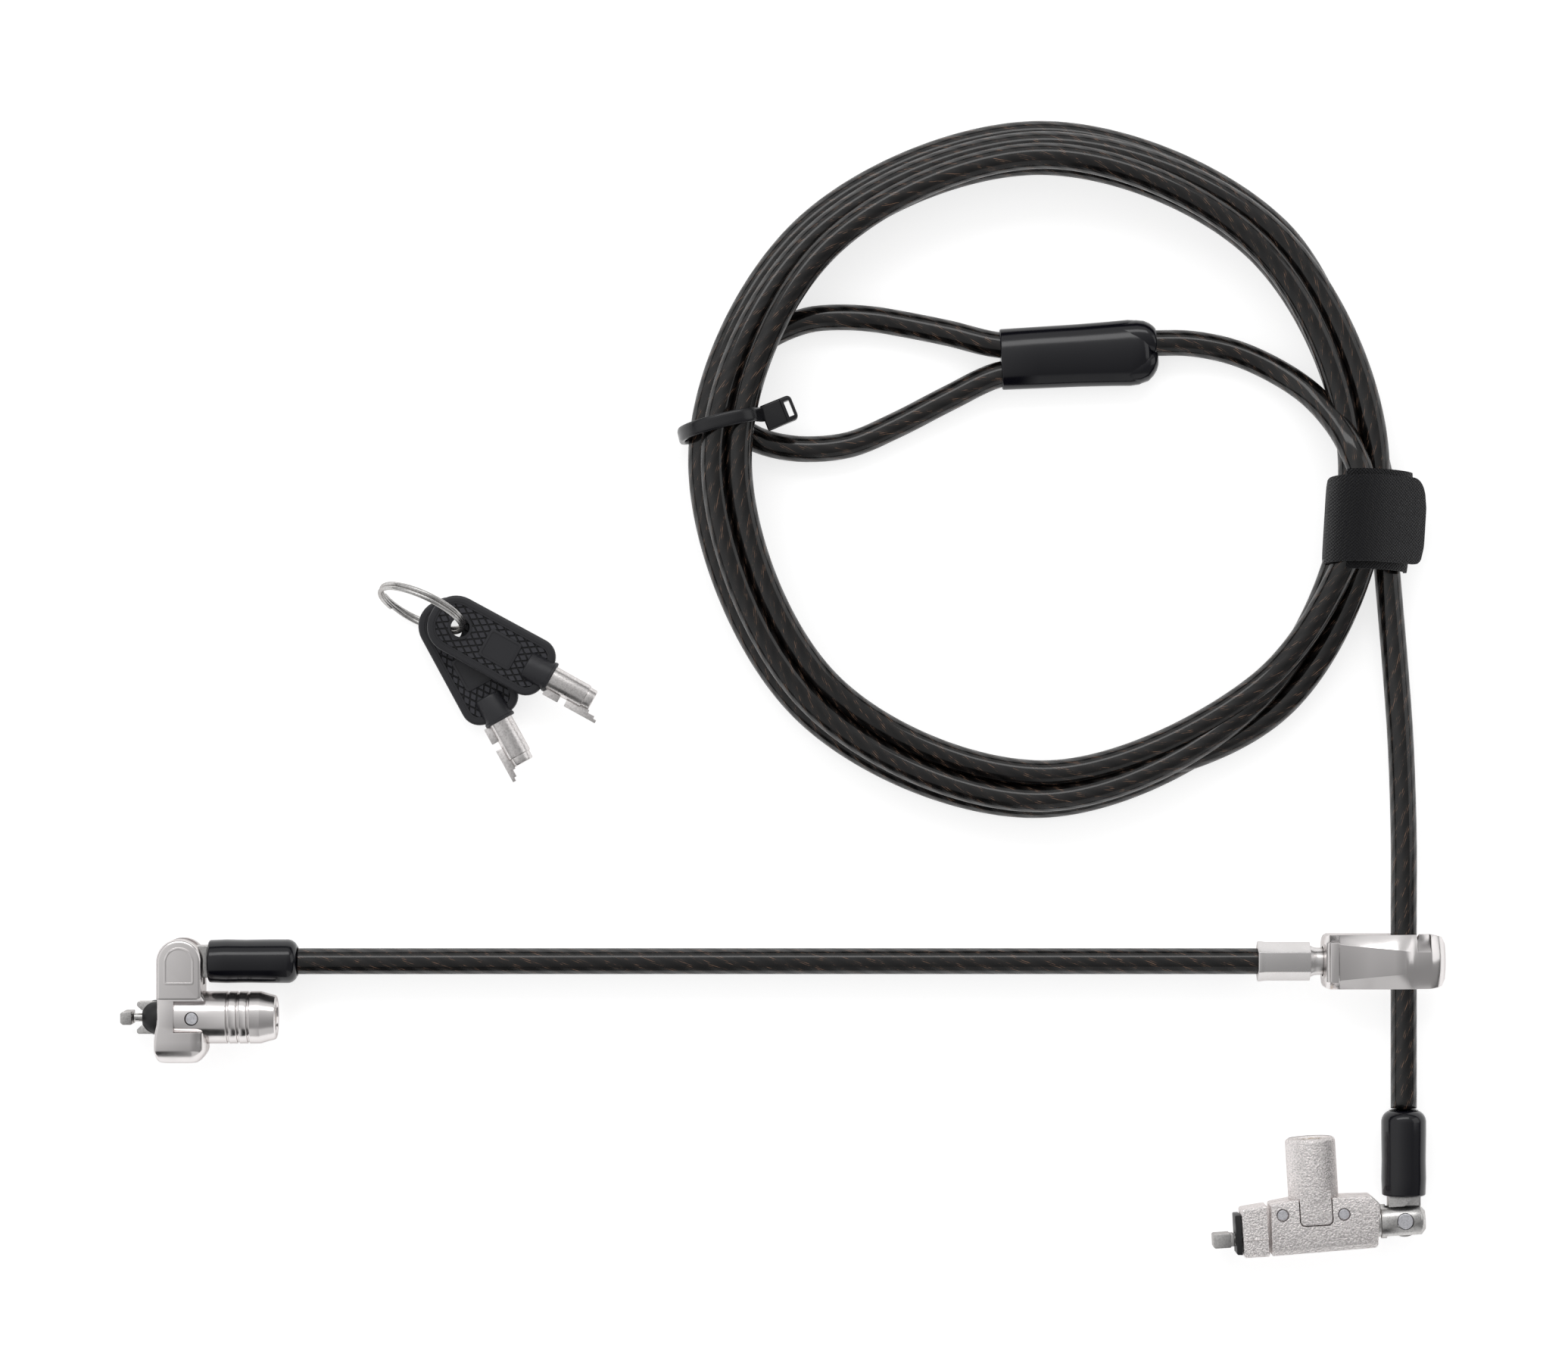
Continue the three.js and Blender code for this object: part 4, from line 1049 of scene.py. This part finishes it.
def add_tie():
    route = [(-3.2, 0.75), (-6.2, 1.3), (-7.6, 3.4), (-7.75, 6.4), (-7.2, 9.8), (-5.6, 12.8), (-2.8, 15.0),
             (0.6, 15.9), (3.8, 15.9), (6.2, 14.6), (7.4, 12.2), (8.3, 10.2), (9.6, 9.4)]
    band = sweep("tie_band", spline([Vector(p) for p in route], 0.5), 2.7, 1.1, 0.0, (0.0, 0.0), 6)
    band = finished(rounded(band, 0.1, 2, 50), NYLON, TIE, 50)
    rides(band, "cable", "black_nylon", "zip_tie_band")
    head = raw("head", slab(cross_section(-3.1, 3.2, -2.45, 2.45, (0.4, 0.9)), -2.2, 2.0, 0.35))
    lip = raw("lip", slab(cross_section(0.9, 3.15, -2.3, 2.3, (0.3, 0.8)), 0.0, 2.45, 0.25))
    for part in (head, lip):
        cut(part, raw("slot", box((1.55, -1.55, -3), (2.6, 1.55, 3))))
    body = merged("tie_head", head, lip)
    body.data.transform(Matrix.Translation((11.4, 0.4, 8.6)) @ Matrix.Rotation(math.radians(9), 4, "Z"))
    rides(finished(body, NYLON, TIE, 40), "cable", "black_nylon", "zip_tie_head")


def add_strap():
    """Woven wrap strap: an outer turn that ends in a rounded flap, over the start of its inner turn."""
    route = [(122.3, 6.2), (120.6, 8.3), (118.2, 10.8), (115.4, 13.3), (112.2, 15.3), (108.6, 15.8),
             (105.6, 14.4), (104.2, 11.2), (104.0, 7.4), (104.3, 3.6), (105.8, 1.1), (109.0, 0.75),
             (113.5, 0.75), (117.2, 0.95), (119.4, 2.6), (119.5, 5.4), (117.9, 8.6), (115.2, 11.4)]
    path = spline([Vector(p) for p in route], 0.45)
    strap = sweep("wrap_strap", path, 16.4, 1.15, 0.06, (2.6, 4.6), 24)
    inner_route = [(119.6, 3.4), (119.5, 5.6), (117.8, 8.9), (115.0, 11.8), (112.0, 13.6), (108.7, 14.2),
                   (106.6, 13.2)]
    inner = sweep("inner", spline([Vector(p) for p in inner_route], 0.45), 19.0, 0.9, 0.06, (0.5, 0.5), 24)
    strap = merged("wrap_strap", strap, inner)
    rides(finished(strap, WEBBING, STRAP, 60), "cable", "black_webbing", "hook_loop_strap")


add_sleeve()
add_tie()
add_strap()

# ---- Keys and split ring ----

RING_RADIUS = 8.5
RING_WIRE = 0.45
RING_PITCH = 0.9
RING = place(-69.0, 59.6, 8.7, -24.0) @ Matrix.Rotation(math.radians(72), 4, "X")
BOW_BACK = -6.2
BOW_FRONT = 19.2
BOW_HALF = 5.8
HOLES = {"key_a": 1.85, "key_b": 2.3}  # radius; the lower key's is wider where the ring slants through it


def bow_outline(shrink=0.0):
    """Long plate: a round end at the ring's hole, sides that spread a little, and a blunt front."""
    half = BOW_HALF - shrink
    back = BOW_BACK + shrink
    front = BOW_FRONT - shrink
    return rounded_outline([[back, -half + 0.25, 5.1 - shrink], [front, -half, 3.6 - shrink],
                            [front, half, 3.6 - shrink], [back, half - 0.25, 5.1 - shrink]], 10)


def bow_hole(radius):
    return raw("hole", rod(-3, 3, radius, "z", 48))


def key_bow(radius):
    """Bow with a rounded rim, a low step inside it and a sunk panel on both faces."""
    faces = []
    for side in (1, -1):
        face = raw("face", slab(bow_outline(), 0.0, 1.2 * side, 0.55, 5))
        cut(face, raw("step", prism(bow_outline(1.15), 1.08 * side, 2 * side)))
        cut(face, raw("panel", prism(bow_outline(1.55), 0.8 * side, 2 * side)))
        faces.append(cut(face, bow_hole(radius)))
    outer = radius + 0.5
    profile = [[-0.95, radius], [-0.95, outer], [0.95, outer], [0.95, radius], [-0.95, radius]]
    rim = raw("eyelet", turned(profile, "z", 48))
    profile = [[14.5, 0], [14.5, 2.4], [14.65, 2.7], [14.9, 2.8], [19.3, 2.95], [19.4, 3.05], [19.8, 3.05],
               [19.95, 2.9], [19.95, 0]]
    collar = raw("collar", turned(profile, "x", 64))
    return merged("bow", *faces, rim, collar)


def grip_panel(radius):
    """Knurled panel that lies in the bow's sunk faces."""
    panel = cut(raw("grip", prism(bow_outline(1.6), -0.86, 0.86)), bow_hole(radius))
    uv = panel.data.uv_layers.new(name="UVMap")
    for loop in panel.data.loops:
        spot = panel.data.vertices[loop.vertex_index].co
        uv.data[loop.index].uv = (spot.x, spot.y)
    return panel


def label_patch():
    """Plain raised patch with a low border on each face, left blank."""
    parts = []
    for side in (1, -1):
        outer = cross_section(5.4, 12.2, -2.9, 2.9, (0.7, 0.7))
        plate = raw("plate", slab(outer, 0.7 * side, 1.12 * side, 0.12, 3))
        sunk = cross_section(5.9, 11.7, -2.4, 2.4, (0.5, 0.5))
        parts.append(cut(plate, raw("sunk", prism(sunk, 0.98 * side, 2 * side))))
    return merged("patch", *parts)


def key_shank():
    """Tubular shank with a thinner open end, and the flat bits that stand off one side."""
    profile = [[15.0, 1.7], [15.0, 2.35], [27.2, 2.35], [27.35, 2.3], [27.45, 2.08], [28.75, 2.05],
               [28.95, 1.95], [29.0, 1.75], [28.9, 1.6], [24.0, 1.55], [24.0, 0.0]]
    tube_part = raw("shank", turned(profile + [[15.0, 0.0], [15.0, 1.7]], "x", 56))
    shoulder = raw("shoulder", box((19.9, -3.6, -0.55), (23.2, -1.6, 0.55)))
    outline = [[24.6, -3.6], [31.4, -3.6], [31.4, -2.95], [30.7, -2.95], [30.7, -2.45], [29.3, -2.45],
               [29.3, -1.9], [24.9, -1.9], [24.6, -2.3]]
    bit = raw("bit", prism(outline, -0.55, 0.55))
    return merged("shank", tube_part, rounded(shoulder, 0.12, 2), rounded(bit, 0.1, 2))


def add_key(name, matrix):
    """One key: its bow, the knurled panel in it, a blank patch and the shank."""
    pieces = ((key_bow(HOLES[name]), "_bow_body", MOULDED, "moulded_plastic", [name + "_bow"]),
              (grip_panel(HOLES[name]), "_grip", GRIP, "moulded_plastic", []),
              (label_patch(), "_patch", MOULDED, "moulded_plastic", []),
              (key_shank(), "_shank", KEY_STEEL, "steel", [name + "_barrel"]))
    for piece, ending, material, slot, nodes in pieces:
        piece.name = name + ending
        rides(finished(piece, material, matrix, 30), name, slot, *nodes)


def add_split_ring():
    """Flat-wound split ring: two turns lying on each other, their ends showing as two steps."""
    steps = 150
    turns = 2.06
    bm = bmesh.new()
    rings = []
    sides = 14
    for i in range(steps + 1):
        way = i / steps
        angle = 2 * math.pi * turns * way + math.radians(205)
        climb = (way - 0.5) * 2 * RING_PITCH
        drift = 0.5 * (math.tanh((way - 0.5) * 16) * RING_PITCH * 0.9 + climb * 0.1)
        ring = []
        for k in range(sides):
            turn = 2 * math.pi * k / sides
            reach = RING_RADIUS + RING_WIRE * math.cos(turn)
            ring.append(bm.verts.new((reach * math.cos(angle), reach * math.sin(angle),
                                      drift + RING_WIRE * math.sin(turn))))
        rings.append(ring)
    ring = finished(raw("key_ring_wire", skin(bm, rings)), STEEL, RING)
    rides(ring, "key_ring", "steel", "split_ring")


add_key("key_a", KEY_A)
add_key("key_b", KEY_B)
add_split_ring()

# ---- CAD parts that stay in view ----

assign(BRASS, "lock1_rotor", "lock2_rotor", "lock2_core_sleeve")
assign(STEEL, "lock2_driver_cam")

# ---- Studio ----

FLOOR_REACH = 2.5
HORIZON = (0.10, 0.01)  # height of a direction, from 0 level to 1 straight up, and the tone it has
SKY = ((0.27, 0.75), (0.72, 0.75), (0.87, 0.74), (0.95, 0.7), (1.0, 0.67))
LIT_SIDE = (-0.9, 0.85, 0.0)


def add_floor():
    """Plain pale floor that glows a little, so that it stays white."""
    bm = bmesh.new()
    corners = [(x * FLOOR_REACH, y * FLOOR_REACH, 0) for x, y in ((-1, -1), (1, -1), (1, 1), (-1, 1))]
    bm.faces.new([bm.verts.new(corner) for corner in corners])
    obj = linked("floor", bm)
    paper = Shader("floor", (0.6, 0.6, 0.6), 0.9, Emission_Color=(1.0, 1.0, 1.0, 1.0),
                   Emission_Strength=0.72)
    obj.data.materials.append(paper.material)


def add_world():
    """Bright overcast room, dark near the horizon, with a dark and a pale screen on its near side."""
    world = bpy.data.worlds.new("world")
    sky = Nodes(world)
    way = sky.node("ShaderNodeTexCoord").outputs["Generated"]
    split = sky.node("ShaderNodeSeparateXYZ", {0: way})
    ramp = sky.node("ShaderNodeValToRGB", {0: split.outputs[2]})
    elements = ramp.color_ramp.elements
    elements[0].position = HORIZON[0]
    elements[0].color = (HORIZON[1], HORIZON[1], HORIZON[1], 1.0)
    elements[1].position = SKY[0][0]
    elements[1].color = (SKY[0][1], SKY[0][1], SKY[0][1], 1.0)
    for height, tone in SKY[1:]:
        elements.new(height).color = (tone, tone, tone, 1.0)
    lit_side = sky.node("ShaderNodeVectorMath", {0: way, 1: LIT_SIDE}, operation="DOT_PRODUCT")
    level = sky.spread(lit_side.outputs["Value"], -0.65, 0.5, 0.36, 1.05)
    tone = sky.math("MULTIPLY", ramp.outputs[0], level)
    screen = sky.spread(split.outputs[0], -0.09, 0.09, 0.02, 0.62)
    near = sky.spread(split.outputs[1], -0.7, -0.76)
    tone = sky.math("MULTIPLY_ADD", near, sky.math("SUBTRACT", screen, tone), tone)
    sky.tree.links.new(tone, sky.tree.nodes["Background"].inputs[0])
    bpy.context.scene.world = world


def add_light(name, spot, size, power, aim=(0, 0.05, 0)):
    """A rectangular soft light, its size given as width and height."""
    data = bpy.data.lights.new(name, "AREA")
    data.shape = "RECTANGLE"
    data.energy = power
    data.size = size[0]
    data.size_y = size[1]
    light = bpy.data.objects.new(name, data)
    light.location = spot
    light.rotation_euler = (Vector(aim) - Vector(spot)).to_track_quat("-Z", "Y").to_euler()
    bpy.context.scene.collection.objects.link(light)


add_floor()
add_world()
add_light("key", (-0.1, 0.85, 0.85), (1.3, 0.3), 3.1)
add_light("fill", (1.1, 0.35, 0.5), (0.8, 0.8), 1.6)
bpy.context.scene.view_settings.view_transform = "Standard"
